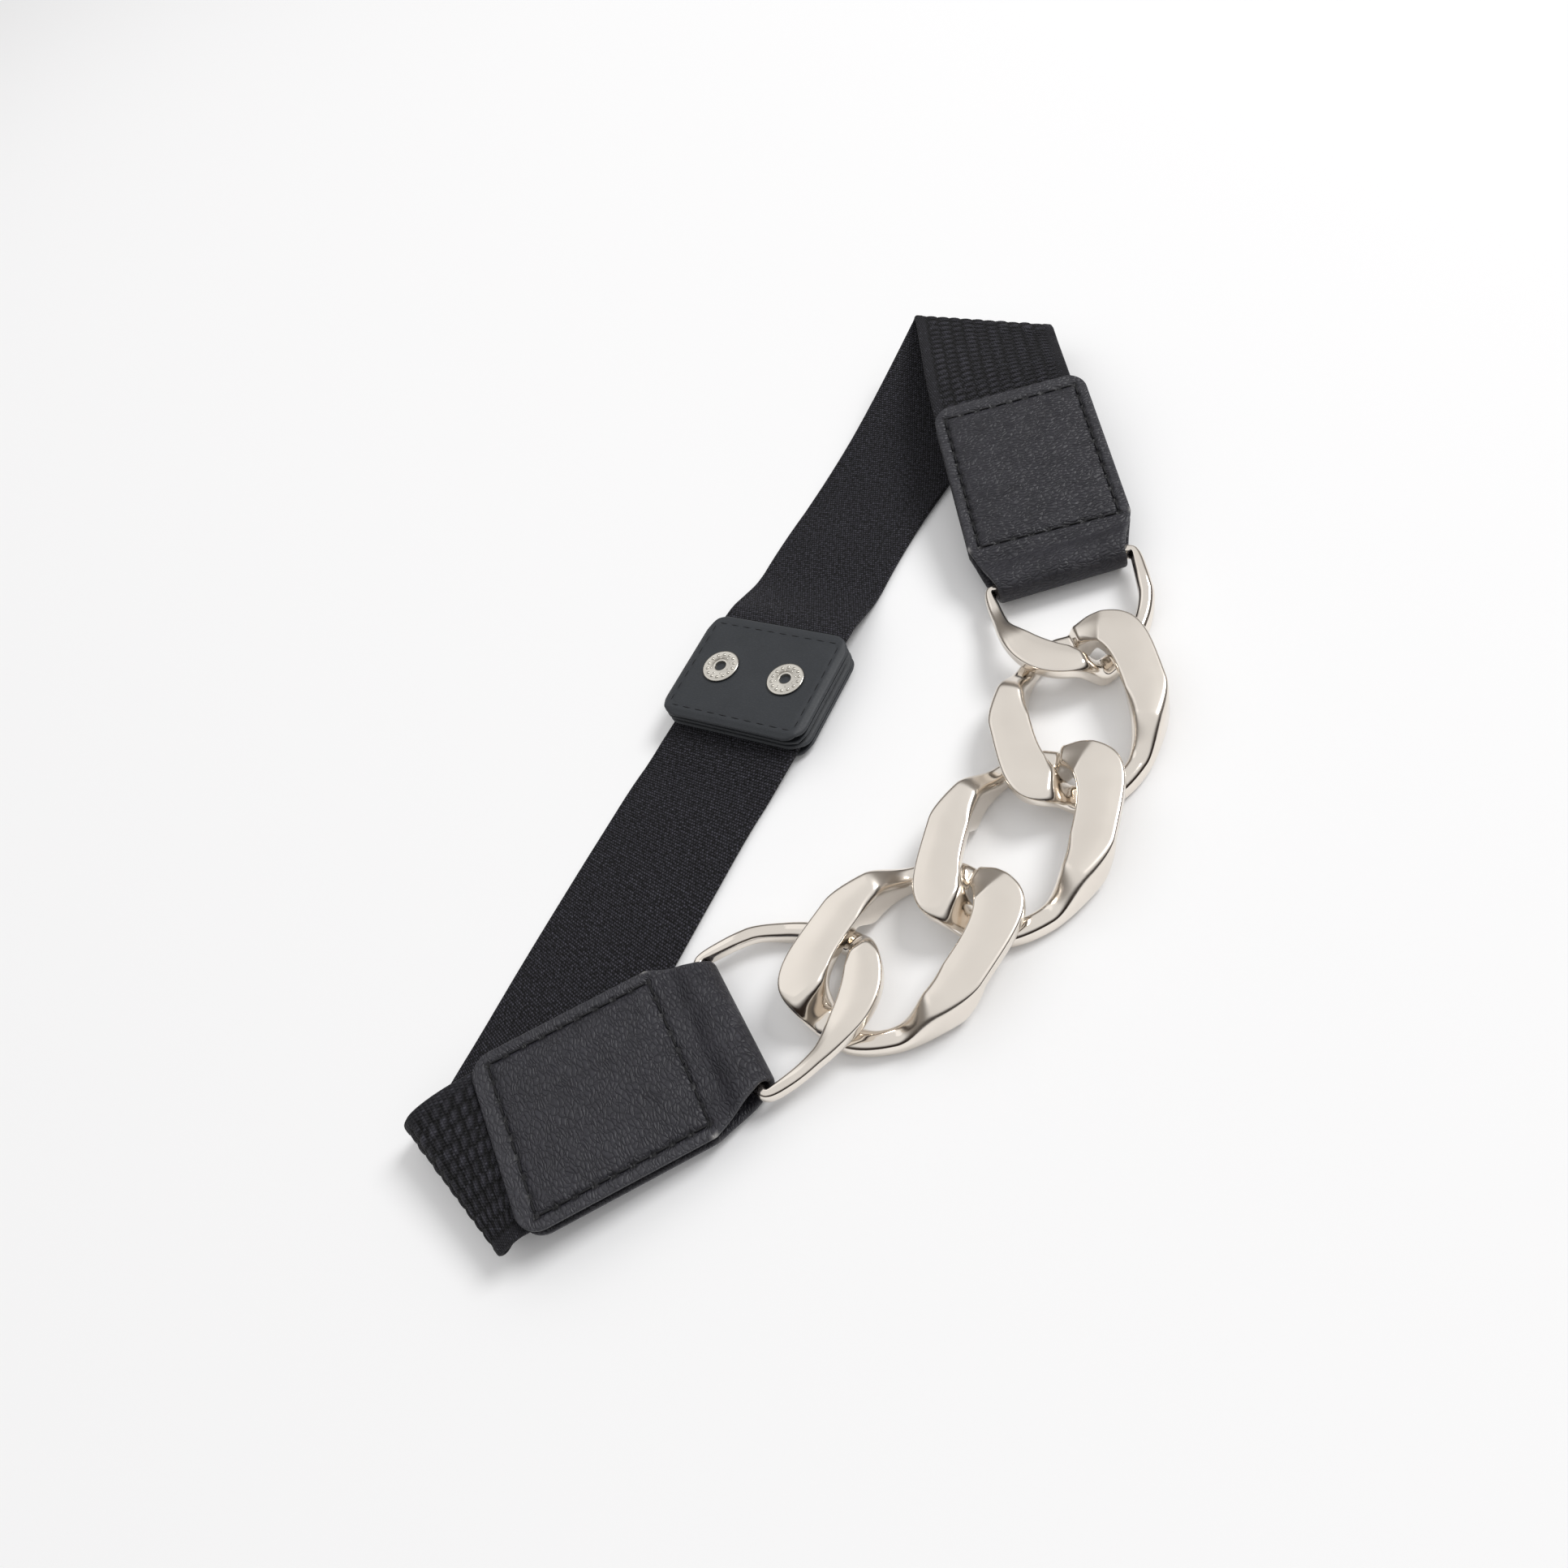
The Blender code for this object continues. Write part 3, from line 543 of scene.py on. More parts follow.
def addAreaLight(name, place, size, power):
    data = bpy.data.lights.new(name, "AREA")
    data.shape = "DISK"
    data.size = size
    data.energy = power
    lamp = addToScene(name, data)
    lamp.location = place
    lamp.rotation_euler = (-Vector(place)).to_track_quat("-Z", "Y").to_euler()


def lightRoom(tree):
    # Pale overhead, dimmer towards the horizon, and darkest low down behind the camera
    split = addNode(tree, "SeparateXYZ", {0: coordinates(tree, "Generated")})
    rise = softRange(tree, split.outputs["Z"], *studio["overheadFrom"])
    ahead = softRange(tree, split.outputs["Y"], *studio["aheadFrom"])
    low = mixColors(tree, ahead, studio["behindCamera"], studio["horizon"])
    color = mixColors(tree, rise, low, studio["overhead"])
    seen = addNode(tree, "LightPath").outputs["Is Camera Ray"]
    color = mixColors(tree, seen, color, studio["floorColor"])
    feed(tree, tree.nodes["Background"], {"Color": color})


def tableMaterial():
    # White round the belt, and dark far off where only the polished metal mirrors it
    material, tree, shader = newMaterial("paleTable")
    far = addNode(tree, "VectorMath", {0: coordinates(tree)}, operation="LENGTH")
    away = softRange(tree, far.outputs["Value"], *studio["mirroredFrom"])
    mirrored = addNode(tree, "LightPath").outputs["Is Glossy Ray"]
    dim = mathNode(tree, "MULTIPLY", away, mirrored)
    color = mixColors(tree, dim, studio["floorColor"], studio["behindCamera"])
    feed(tree, shader, {
        "Base Color": color, "Emission Color": color, "Emission Strength": studio["floorGlow"],
        "Roughness": studio["floorRough"], "Specular IOR Level": studio["floorShine"],
    })
    return material


def addStudio():
    mesh = bpy.data.meshes.new("table")
    size = studio["floorSize"]
    corners = [(-size, -size, 0), (size, -size, 0), (size, size, 0), (-size, size, 0)]
    mesh.from_pydata(corners, [], [(0, 1, 2, 3)])
    floor = addToScene("table", mesh)
    mesh.materials.append(tableMaterial())
    floor.location.z = -studio["floorDrop"]
    world = bpy.data.worlds.new("studio")
    bpy.context.scene.world = world
    world.use_nodes = True
    lightRoom(world.node_tree)
    for row in studio["lights"]:
        addAreaLight(*row)
    bpy.context.scene.view_settings.view_transform = "Standard"


addCamera()
addStudio()
print("camera, table and lights are in place")


# Shared effects: each is a node group, placed in the materials with their own values

grain = {
    "detail": 3.0,
    "warpScale": 210.0,
    "warpReach": 0.003,
    "turn": -16.0,
    "stretch": (0.5, 1.25, 1.0),
    "creaseSharp": 2.4,
    "creasePower": 0.6,
    "fineScale": 2600.0,
    "fineShare": 0.22,
    "wearScale": 130.0,
    "wearShare": 0.8,
    # how much the painted highlight lightens the pebbles' tops
    "highlightOnPebbles": 0.35,
}
twill = {
    "stagger": 0.5,
    "ridgePower": 0.8,
    "glintPower": 6.0,
}


def newGroup(name, inputs, outputs):
    group = bpy.data.node_groups.new(name, "ShaderNodeTree")
    for side, sockets in (("INPUT", inputs), ("OUTPUT", outputs)):
        for label, kind in sockets.items():
            group.interface.new_socket(label, in_out=side, socket_type="NodeSocket" + kind)
    entry = group.nodes.new("NodeGroupInput").outputs
    return group, entry, group.nodes.new("NodeGroupOutput")


def makeGrainGroup():
    # Pebbled leather: cells with creases between them, slow patches of lighter wear, and a painted
    # highlight that lightens the pebbles' tops
    group, entry, leave = newGroup(
        "leatherGrain", {"Vector": "Vector", "Cell Size": "Float"},
        {"Height": "Float", "WearAndHighlight": "Float"},
    )
    vector, detail = entry["Vector"], grain["detail"]
    warp = noiseNode(group, vector, grain["warpScale"], detail).outputs["Color"]
    reach = (grain["warpReach"],) * 3
    moved = addNode(group, "VectorMath", {0: warp, 1: reach, 2: vector}, operation="MULTIPLY_ADD")
    stretched = addNode(group, "Mapping", {
        "Vector": moved.outputs[0], "Rotation": (0.0, 0.0, math.radians(grain["turn"])),
        "Scale": grain["stretch"],
    })
    cells = addNode(
        group, "TexVoronoi", {"Vector": stretched.outputs["Vector"], "Scale": entry["Cell Size"]},
        feature="DISTANCE_TO_EDGE",
    )
    pebble = mathNode(
        group, "MULTIPLY", cells.outputs["Distance"], grain["creaseSharp"], clamp=True,
    )
    pebble = mathNode(group, "POWER", pebble, grain["creasePower"])
    fine = noiseNode(group, vector, grain["fineScale"], detail).outputs["Fac"]
    height = mathNode(group, "MULTIPLY_ADD", fine, grain["fineShare"], pebble)
    slow = noiseNode(group, vector, grain["wearScale"], detail).outputs["Fac"]
    # painted highlight: the colour is lighter on the pebbles' tops and darker in the creases
    # between them
    pebbleHighlight = mathNode(group, "MULTIPLY", pebble, grain["highlightOnPebbles"])
    lighterTone = mathNode(group, "MULTIPLY_ADD", slow, grain["wearShare"], pebbleHighlight)
    feed(group, leave, {"Height": height, "WearAndHighlight": lighterTone})
    return group


def makeWeaveGroup():
    # Twill threads from a flat map in metres: diagonal ridges broken into short floats, with a
    # painted glint on a few floats at random
    group, entry, leave = newGroup(
        "twillWeave", {"Vector": "Vector", "Pitch": "Float"},
        {"Height": "Float", "Glint": "Float"},
    )
    split = addNode(group, "SeparateXYZ", {0: entry["Vector"]})
    across = mathNode(group, "DIVIDE", split.outputs["X"], entry["Pitch"])
    along = mathNode(group, "DIVIDE", split.outputs["Y"], entry["Pitch"])
    row = mathNode(group, "FLOOR", along)
    staggered = mathNode(group, "MULTIPLY_ADD", row, twill["stagger"], across)
    ridges = []
    for place in (staggered, along):
        wave = mathNode(group, "SINE", mathNode(group, "MULTIPLY", place, math.pi))
        ridges.append(mathNode(group, "ABSOLUTE", wave))
    height = mathNode(group, "POWER", mathNode(group, "MULTIPLY", *ridges), twill["ridgePower"])
    column = mathNode(group, "FLOOR", staggered)
    cell = addNode(group, "CombineXYZ", {"X": row, "Y": column}).outputs[0]
    chance = addNode(group, "TexWhiteNoise", {"Vector": cell}, noise_dimensions="2D")
    bright = mathNode(group, "POWER", chance.outputs["Value"], twill["glintPower"])
    feed(group, leave, {"Height": height, "Glint": mathNode(group, "MULTIPLY", bright, height)})
    return group


grainGroup = makeGrainGroup()
weaveGroup = makeWeaveGroup()


# Materials: edge, nick and needle-hole colours go where a piece's mesh has marked them; the
# needle-hole colour is painted shade

leathers = {
    "pebbledTabLeather": {
        "onFlatMap": True,
        "cells": 960.0,
        "dark": (0.005, 0.005, 0.008),
        "light": (0.030, 0.029, 0.038),
        "edge": (0.048, 0.048, 0.056),
        "nick": (0.42, 0.41, 0.40),
        # painted shade in the needle holes
        "hole": (0.002, 0.002, 0.002),
        "roughness": 0.57,
        "specular": 0.45,
        "bump": (0.9, 0.00022),
    },
    "smoothPatchLeather": {
        "onFlatMap": True,
        "cells": 1500.0,
        "dark": (0.020, 0.023, 0.027),
        "light": (0.034, 0.038, 0.044),
        "edge": (0.048, 0.052, 0.058),
        "nick": (0.3, 0.3, 0.3),
        "hole": (0.004, 0.004, 0.004),
        "roughness": 0.62,
        "specular": 0.4,
        "bump": (0.2, 0.0001),
    },
    "stitchThread": {
        "onFlatMap": False,
        "cells": 2600.0,
        "dark": (0.006, 0.006, 0.007),
        "light": (0.018, 0.018, 0.020),
        "edge": (0.02, 0.02, 0.02),
        "nick": (0.02, 0.02, 0.02),
        "hole": (0.004, 0.004, 0.004),
        "roughness": 0.7,
        "specular": 0.3,
        "bump": (0.4, 0.0001),
    },
}
# the lighter tone also carries the painted highlight on the pebbles' tops, which are made smoother
# too
wearGloss = 0.12  # how much smoother the worn places of leather are


def leatherMaterial(name):
    look = leathers[name]
    material, tree, shader = newMaterial(name)
    place = flatMap(tree) if look["onFlatMap"] else coordinates(tree)
    values = {"Vector": place, "Cell Size": look["cells"]}
    pebbles = addNode(tree, "Group", values, node_tree=grainGroup)
    # the lighter colour comes from slow wear patches and from the painted highlight on the pebbles'
    # tops
    lighterTone = pebbles.outputs["WearAndHighlight"]
    color = mixColors(tree, lighterTone, look["dark"], look["light"])
    for mark in ("edge", "nick", "hole"):
        color = mixColors(tree, pointMask(tree, mark), color, look[mark])
    feed(tree, shader, {
        "Base Color": color,
        "Roughness": mathNode(tree, "MULTIPLY_ADD", lighterTone, -wearGloss, look["roughness"]),
        "Specular IOR Level": look["specular"],
        "Normal": bumpNormal(tree, pebbles.outputs["Height"], *look["bump"]),
    })
    return material


cloth = {
    "pitch": 0.00074,
    # dark is painted shade between the weave's threads, light the colour of their tops
    "dark": (0.0005, 0.0005, 0.001),
    "light": (0.056, 0.054, 0.070),
    # painted shade in the furrows between the ribs; rib is the colour of their tops
    "furrowShade": (0.0005, 0.0005, 0.0007),
    "rib": (0.042, 0.041, 0.052),
    # painted glint: the colour of the few floats that are lit up
    "glintColor": (0.12, 0.12, 0.15),
    "glint": 0.3,
    "speckleScale": 1300.0,
    "speckleRange": (0.38, 0.62, 0.1, 1.0),
    "roughness": 0.7,
    "specular": 0.3,
    "bump": (1.0, 0.0003),
}


def elasticMaterial(name):
    # The inner face shows the weave and the outer face its ribs, both with painted shade in their
    # hollows
    material, tree, shader = newMaterial(name)
    place = flatMap(tree)
    values = {"Vector": place, "Pitch": cloth["pitch"]}
    weave = addNode(tree, "Group", values, node_tree=weaveGroup)
    grainy = noiseNode(tree, place, cloth["speckleScale"]).outputs["Fac"]
    speckle = softRange(tree, grainy, *cloth["speckleRange"])
    # painted shade: the inner face is darker in the hollows between thread ridges, by the weave's
    # height, broken by a random speckle
    shade = mathNode(tree, "MULTIPLY", weave.outputs["Height"], speckle)
    woven = mixColors(tree, shade, cloth["dark"], cloth["light"])
    # painted shade: the outer face is darker in the furrows and lighter on the ribs' tops, by the
    # rise mask
    ribs = mixColors(tree, pointMask(tree, "rise"), cloth["furrowShade"], cloth["rib"])
    color = mixColors(tree, pointMask(tree, "ribbed"), woven, ribs)
    # painted glint: a few random floats are lightened towards a bright colour
    sparkle = mathNode(tree, "MULTIPLY", weave.outputs["Glint"], cloth["glint"])
    feed(tree, shader, {
        "Base Color": mixColors(tree, sparkle, color, cloth["glintColor"]),
        "Roughness": cloth["roughness"],
        "Specular IOR Level": cloth["specular"],
        "Normal": bumpNormal(tree, weave.outputs["Height"], *cloth["bump"]),
    })
    return material


metals = {
    "satinChainMetal": {
        "satin": 0.25,
        "polished": 0.10,
        "dark": (0.79, 0.73, 0.66),
        "light": (0.91, 0.85, 0.775),
        "bump": 0.09,
    },
    "platedStudMetal": {
        "satin": 0.34,
        "polished": 0.24,
        "dark": (0.60, 0.575, 0.52),
        "light": (0.74, 0.71, 0.65),
        "bump": 0.1,
    },
}
cloud = {"scale": 90.0, "rough": 0.03}
brush = {"scale": 3200.0, "depth": 0.00002}


def metalMaterial(name):
    look = metals[name]
    material, tree, shader = newMaterial(name)
    fine = noiseNode(tree, coordinates(tree), brush["scale"]).outputs["Fac"]
    slow = noiseNode(tree, coordinates(tree), cloud["scale"]).outputs["Fac"]
    duller = look["satin"] - look["polished"]
    rough = mathNode(tree, "MULTIPLY_ADD", pointMask(tree, "satin"), duller, look["polished"])
    feed(tree, shader, {
        "Base Color": mixColors(tree, slow, look["dark"], look["light"]),
        "Metallic": 1.0,
        "Roughness": mathNode(tree, "MULTIPLY_ADD", slow, cloud["rough"], rough),
        "Normal": bumpNormal(tree, fine, look["bump"], brush["depth"]),
    })
    return material


tabLeather = leatherMaterial("pebbledTabLeather")
patchLeather = leatherMaterial("smoothPatchLeather")
elasticCloth = elasticMaterial("wovenElastic")
chainMetal = metalMaterial("satinChainMetal")
studMetal = metalMaterial("platedStudMetal")
threadMaterial = leatherMaterial("stitchThread")
print("materials are made")

for name, (place, yaw) in places.items():
    buildRing(name, place, yaw)
print("chain of", len(places), "pieces is made")


# Stitches: each is a short sagging spindle lying in its groove

stitch = {
    "around": 6,
    "lengthwise": 5,
    "taper": 0.92,
    "thinnest": 0.02,
    "sag": 0.16,
    "lookAhead": 0.05,
}


def stitchRows(corners, pitch, toSurface):
    for (u0, v0), (u1, v1) in zip(corners, corners[1:] + corners[:1]):
        run = math.hypot(u1 - u0, v1 - v0)
        step = stitch["lookAhead"]
        count = max(int(round(run / pitch)), 1)
        for i in range(count):
            share = (i + 0.5) / count
            u, v = u0 + (u1 - u0) * share, v0 + (v1 - v0) * share
            here, normal = toSurface(u, v)
            ahead, _ = toSurface(u + (u1 - u0) / run * step, v + (v1 - v0) / run * step)
            yield here, normal, unit(ahead - here)


def spindlePoints(point, normal, direction, length, radius):
    sideways = np.cross(normal, direction)
    around, lengthwise = stitch["around"], stitch["lengthwise"]
    points = []
    for i in range(lengthwise):
        t = i / (lengthwise - 1) * 2.0 - 1.0
        size = radius * math.sqrt(max(1.0 - (t * stitch["taper"]) ** 2, stitch["thinnest"]))
        centre = point + direction * t * length / 2 - normal * (stitch["sag"] * t * t)
        for j in range(around):
            a = 2 * math.pi * j / around
            points.append(centre + (sideways * math.cos(a) + normal * math.sin(a)) * size)
    return points


def stitchObject(name, corners, look, surfaces):
    around, lengthwise = stitch["around"], stitch["lengthwise"]
    spindle = gridFaces(lengthwise, around, closedColumns=True)
    spindle.append(tuple(range(around))[::-1])
    spindle.append(tuple(range((lengthwise - 1) * around, lengthwise * around)))
    points, faces = [], []
    length = look["pitch"] * look["fill"]
    for toSurface in surfaces:
        for point, normal, direction in stitchRows(corners, look["pitch"], toSurface):
            faces += [tuple(len(points) + i for i in face) for face in spindle]
            points += spindlePoints(point, normal, direction, length, look["radius"])
    piece = makeObject(name, points, faces, threadMaterial)
    settle(piece)


# Tabs: a strip of leather round the bar, stitched through both layers

tab = {
    "width": 42.3,
    "leather": 1.4,
    "panel": 48.5,
    "loop": 11.5,
    "corner": 5.5,
    "noseClearance": 1.1,
    "noseReach": 2.0,
    "sideMargin": 3.0,
    "endMargin": 4.3,
    "stitch": {"pitch": 4.3, "fill": 0.7, "radius": 0.3, "sink": 0.04},
    "puff": {"height": 0.5, "reach": 2.4},
    "groove": {"depth": 0.336, "width": 0.65, "pastLoop": 0.8, "pastLine": 2.0},
    "hole": {"depth": 0.35, "width": 0.7, "pastCorner": 0.8},
    "roll": {"height": 0.55, "place": 0.5, "width": 3.2},
    "valley": {"depth": 0.45, "place": 6.4, "width": 1.9},
    "sway": {"share": 0.25, "turn": 0.55, "start": 0.6},  # of the roll across the tab
    "soft": {"height": 0.05, "long": (0.83, 0.31), "cross": (0.47, 0.22)},
    "rearRelief": 0.6,
    "edgeRadius": 0.8,
    # the leather's colour is lighter along the side edges and on the margin outside the stitches
    "lighterEdge": {"strength": 0.8, "reach": 1.2, "margin": 0.35, "marginFrom": 0.8},
    "nick": {"along": 0.7, "across": 0.5, "rear": 0.3},
    "rearMarks": 0.5,
    "grid": 0.5,
    "cornerSteps": 14,
    "barSteps": 25,
    "crowding": 0.9,  # columns crowd towards the sides
    "frontRow": 5,  # a row of the front panel, which tells the outer side
    "farFromEnd": 9.0,  # for the loop, which has no end edge
}
tabPlaces = {
    "tab_upper": {
        "link": "end_link_upper", "heading": 71.5, "tilt": 9.1, "roll": 3.7, "length": 1.035,
    },
    "tab_lower": {
        "link": "end_link_lower", "heading": 181.5, "tilt": 5.5, "roll": -4.5, "length": 0.905,
    },
}
barClear = endLink["barThick"] / 2 + belt["gap"]
layerOffset = belt["bandThick"] / 2 + belt["gap"] + tab["leather"] / 2
barRadius = endLink["barThick"] / 2 * math.hypot(1.0, endLink["barFlat"])
loopRadius = barRadius + belt["gap"] + tab["leather"] / 2
noseHalf = (
    endLink["width"] / 2 - endLink["leg"]
    + endLink["splayInner"] * (endLink["barDistance"] - endLink["barThick"] / 2)
    - tab["noseClearance"]
)


class TabPlane:
    # Back from the bar, right across, lift off the middle plane
    def __init__(self, row):
        centre, yaw = places[row["link"]]
        barBack = planDirection(yaw + 180.0)
        self.origin = np.array((*centre, barHeight)) + barBack * endLink["barDistance"]
        self.barAxes = (barBack, rightOf(barBack), np.array((0.0, 0.0, 1.0)))
        flatBack = planDirection(row["heading"])
        tilt = math.radians(row["tilt"])
        back = flatBack * math.cos(tilt) + np.array((0.0, 0.0, math.sin(tilt)))
        right = turned(rightOf(flatBack), back, row["roll"])
        self.panelAxes = (back, right, np.cross(right, back))
        self.end = tab["loop"] + tab["panel"] * row["length"]

    def points(self, back, right, lift):
        offsets = [np.asarray(value)[..., None] for value in (back, right, lift)]
        weight = smooth((offsets[0] - barClear) / (tab["loop"] - barClear))
        byBar, byPanel = (
            sum(offset * axis for offset, axis in zip(offsets, axes))
            for axes in (self.barAxes, self.panelAxes)
        )
        return self.origin + byBar * (1.0 - weight) + byPanel * weight


tabPlanes = {name: TabPlane(row) for name, row in tabPlaces.items()}


def noseWidth(back):
    share = np.clip((back + tab["noseReach"]) / (tab["loop"] + tab["noseReach"]), 0.0, 1.0)
    return noseHalf + (tab["width"] / 2 - noseHalf) * share


def tabPath(end):
    # One layer from the rounded end to the bar: back, half width, lift
    quarter = np.linspace(0.0, math.pi / 2, tab["cornerSteps"])
    fromEnd = np.concatenate((
        tab["corner"] * (1.0 - np.cos(quarter)),
        np.arange(tab["corner"] + tab["grid"], end - barClear, tab["grid"]),
        [end - barClear],
    ))
    back = end - fromEnd
    inCorner = np.clip(tab["corner"] - fromEnd, 0.0, None)
    cut = tab["corner"] - np.sqrt(tab["corner"] ** 2 - inCorner ** 2)
    share = np.clip((back - barClear) / (tab["loop"] - barClear), 0.0, 1.0)
    lift = loopRadius + (layerOffset - loopRadius) * smooth(share)
    return back, noseWidth(back) - cut, lift


def stitchDistance(back, right, end):
    # Signed distance to the stitched rectangle, positive inside
    sides = tab["width"] / 2 - tab["sideMargin"] - np.abs(right)
    far = end - tab["endMargin"] - back
    return np.minimum(sides, np.minimum(far, back - tab["loop"]))


def stitchPhase(distanceAlong, run):
    # 1 at the needle holes and 0 at the middle of each stitch
    count = max(round(run / tab["stitch"]["pitch"]), 1)
    return 0.5 + 0.5 * np.cos(2 * math.pi * distanceAlong * count / run)


def tabHoles(back, right, end):
    # Closeness to a needle hole along whichever side of the rectangle is nearer
    side, past = tab["width"] / 2 - tab["sideMargin"], tab["hole"]["pastCorner"]
    near, far = tab["loop"], end - tab["endMargin"]
    bySide = side - np.abs(right) < np.minimum(far - back, back - near)
    phase = np.where(
        bySide, stitchPhase(back - near, far - near), stitchPhase(right + side, 2 * side),
    )
    alongLine = (back > near - past) & (np.abs(right) < side + past)
    return phase ** 2 * bell(stitchDistance(back, right, end), tab["hole"]["width"]) * alongLine


def tabRelief(back, right, end):
    # Height of the leather's face: puffed panel, stitched groove, lower margin, soft loop
    puff, groove, roll, valley = (tab[key] for key in ("puff", "groove", "roll", "valley"))
    inside = stitchDistance(back, right, end)
    panel = puff["height"] * (1.0 - np.exp(-np.clip(inside, 0.0, None) / puff["reach"]))
    line = groove["depth"] * bell(inside, groove["width"])
    offLine = (back < tab["loop"] - groove["pastLoop"]) | (inside < -groove["pastLine"])
    line = np.where(offLine, 0.0, line)
    loop = roll["height"] * bell(back - roll["place"], roll["width"])
    loop = loop - valley["depth"] * bell(back - valley["place"], valley["width"])
    sway, soft = tab["sway"], tab["soft"]
    loop = loop * (1.0 + sway["share"] * np.sin(right * sway["turn"] + sway["start"]))
    wave = soft["height"] * np.sin(back * soft["long"][0] + right * soft["long"][1])
    wave = wave * np.sin(right * soft["cross"][0] - back * soft["cross"][1])
    return panel + loop + wave - line - tabHoles(back, right, end) * tab["hole"]["depth"]


def buildTab(name):
    plane = tabPlanes[name]
    back, half, lift = tabPath(plane.end)
    turns = np.radians(np.linspace(90.0, -90.0, tab["barSteps"]))[1:-1]
    roundBar = -loopRadius * np.cos(turns)
    front = np.arange(2 * len(back) + len(turns))[:, None] < len(back)
    rear = front[::-1]
    columns = int(tab["width"] / tab["grid"])
    side = np.sin(np.linspace(-1.0, 1.0, columns + 1) * math.pi / 2 * tab["crowding"])
    side = side / math.sin(math.pi / 2 * tab["crowding"])
    halves = np.concatenate((half, noseWidth(roundBar), half[::-1]))[:, None]
    backs = np.concatenate((back, roundBar, back[::-1]))[:, None]
    lifts = np.concatenate((lift, loopRadius * np.sin(turns), -lift[::-1]))[:, None]
    right = halves * side[None, :]
    mid = plane.points(backs, right, lifts)
    normal = surfaceNormals(mid)
    normal = normal * np.sign(np.sum(normal[tab["frontRow"]] * plane.panelAxes[2]))
    relief = tabRelief(backs, right, plane.end)
    relief = np.where(rear, relief * tab["rearRelief"], np.where(front, relief, 0.0))
    sideDistance = halves - np.abs(right)
    endDistance = np.where(front | rear, plane.end - backs, tab["farFromEnd"])
    rounding = edgeRounding(np.minimum(sideDistance, endDistance), tab["edgeRadius"])
    lighterTone, nicks, inside = tab["lighterEdge"], tab["nick"], stitchDistance(backs, right, plane.end)
    # colour lighter along the side edges and on the margin outside the stitches
    edge = np.clip(1.0 - sideDistance / lighterTone["reach"], 0.0, 1.0) * lighterTone["strength"]
    margin = np.where(inside < -lighterTone["marginFrom"], lighterTone["margin"], 0.0) * (backs > tab["loop"])
    edge = np.maximum(edge, margin)
    nick = np.exp(
        -((backs - tab["loop"]) / nicks["along"]) ** 2 - (sideDistance / nicks["across"]) ** 2
    )
    nick = nick * np.where(front, 1.0, nicks["rear"])
    # painted shade: closeness to the needle holes also darkens the leather's colour there
    hole = tabHoles(backs, right, plane.end)
    length = runningLength(mid[:, columns // 2])
    uv = np.dstack(np.broadcast_arrays(right * mm, length[:, None] * mm))
    piece = sheetObject(
        "leather_" + name, tabLeather, mid, normal, tab["leather"],
        (relief, np.zeros_like(relief)), rounding, uv,
        {
            "edge": (edge, edge * tab["rearMarks"]), "nick": (nick, nick * tab["rearMarks"]),
            "hole": (hole, np.zeros_like(hole)),
        },
    )
    settle(piece, name)


def tabSurface(plane, sign):
    height = layerOffset + tab["leather"] / 2 - tab["stitch"]["sink"]

    def toSurface(back, right):
        return plane.points(back, right, sign * height), plane.panelAxes[2] * sign
    return toSurface


for name, plane in tabPlanes.items():
    buildTab(name)
    side = tab["width"] / 2 - tab["sideMargin"]
    far, near = plane.end - tab["endMargin"], tab["loop"]
    corners = [(near, -side), (far, -side), (far, side), (near, side)]
    surfaces = [tabSurface(plane, sign) for sign in (1.0, -1.0)]
    stitchObject("stitches_" + name, corners, tab["stitch"], surfaces)
print("tabs are made")


# Patches: strap ends faced with leather and pressed together

patch = {
    "centre": (7.05, 30.0),
    "heading": 39.4,
    "width": 44.0,
    "length": 34.0,
    "leather": 1.0,
    "corner": 5.5,
    "slip": 0.2,
    "margin": 2.7,
    "rimBend": 0.8,
    "rimReach": 2.3,
    "stitch": {"pitch": 3.9, "fill": 0.84, "radius": 0.12, "sink": 0.08},
    "groove": {"depth": 0.16, "width": 0.4},
    "puff": {"height": 0.1, "reach": 2.5},
    "edgeRadius": 0.6,
    # the patch's colour is lighter towards its edge and on the margin outside the stitches
    "lighterEdge": {"strength": 0.8, "reach": 0.9, "margin": 0.15, "marginFrom": 0.7},
    "grid": 0.42,
}
stud = {
    "spacing": 20.3,
    "capRadius": 5.1,
    "capThick": 0.6,
    "postRadius": 2.4,
    "eyeRadius": 1.55,
    "eyeDepth": 1.2,
    "eyeFloor": 1.4,
    "eyeRim": ((0.0, 0.7), (0.05, 0.12), (0.28, 0.0), (0.62, 0.06), (0.85, 0.16)),  # out, down
    "capRim": ((1.0, 0.22), (0.55, 0.16), (0.25, 0.14), (0.06, 0.26), (0.0, 0.42)),  # in, down
    "rimInset": 0.1,
    "ringRim": ((0.0, 0.4), (0.3, 0.05), (0.8, 0.0)),  # in, height
    "steps": 64,
    "sharpFrom": 50.0,
    "dotRows": ((3.75, 14, 0.5), (2.75, 8, 0.34)),  # radius of the row, count, size
    "dotTop": 0.55,
    "dotRings": ((0.42, 0.62), (0.0, 1.0)),  # height and radius as shares of the size
    "dotSink": 0.24,
    "dotSides": 8,
}


def patchLevels():
    # Middle height of every layer, from the studs' lower rings up
    levels, height = {}, stud["capThick"] + belt["gap"]
    leather, thick = patch["leather"], belt["bandThick"]
    for name, layer in (
        ("patch_bottom_back", leather), ("elastic_lower", thick), ("patch_bottom_face", leather),
        ("patch_top_back", leather), ("elastic_upper", thick), ("patch_top_face", leather),
    ):
        levels[name] = height + layer / 2
        height += layer + belt["gap"]
    levels["stud_top"] = height + stud["capThick"]
    return levels


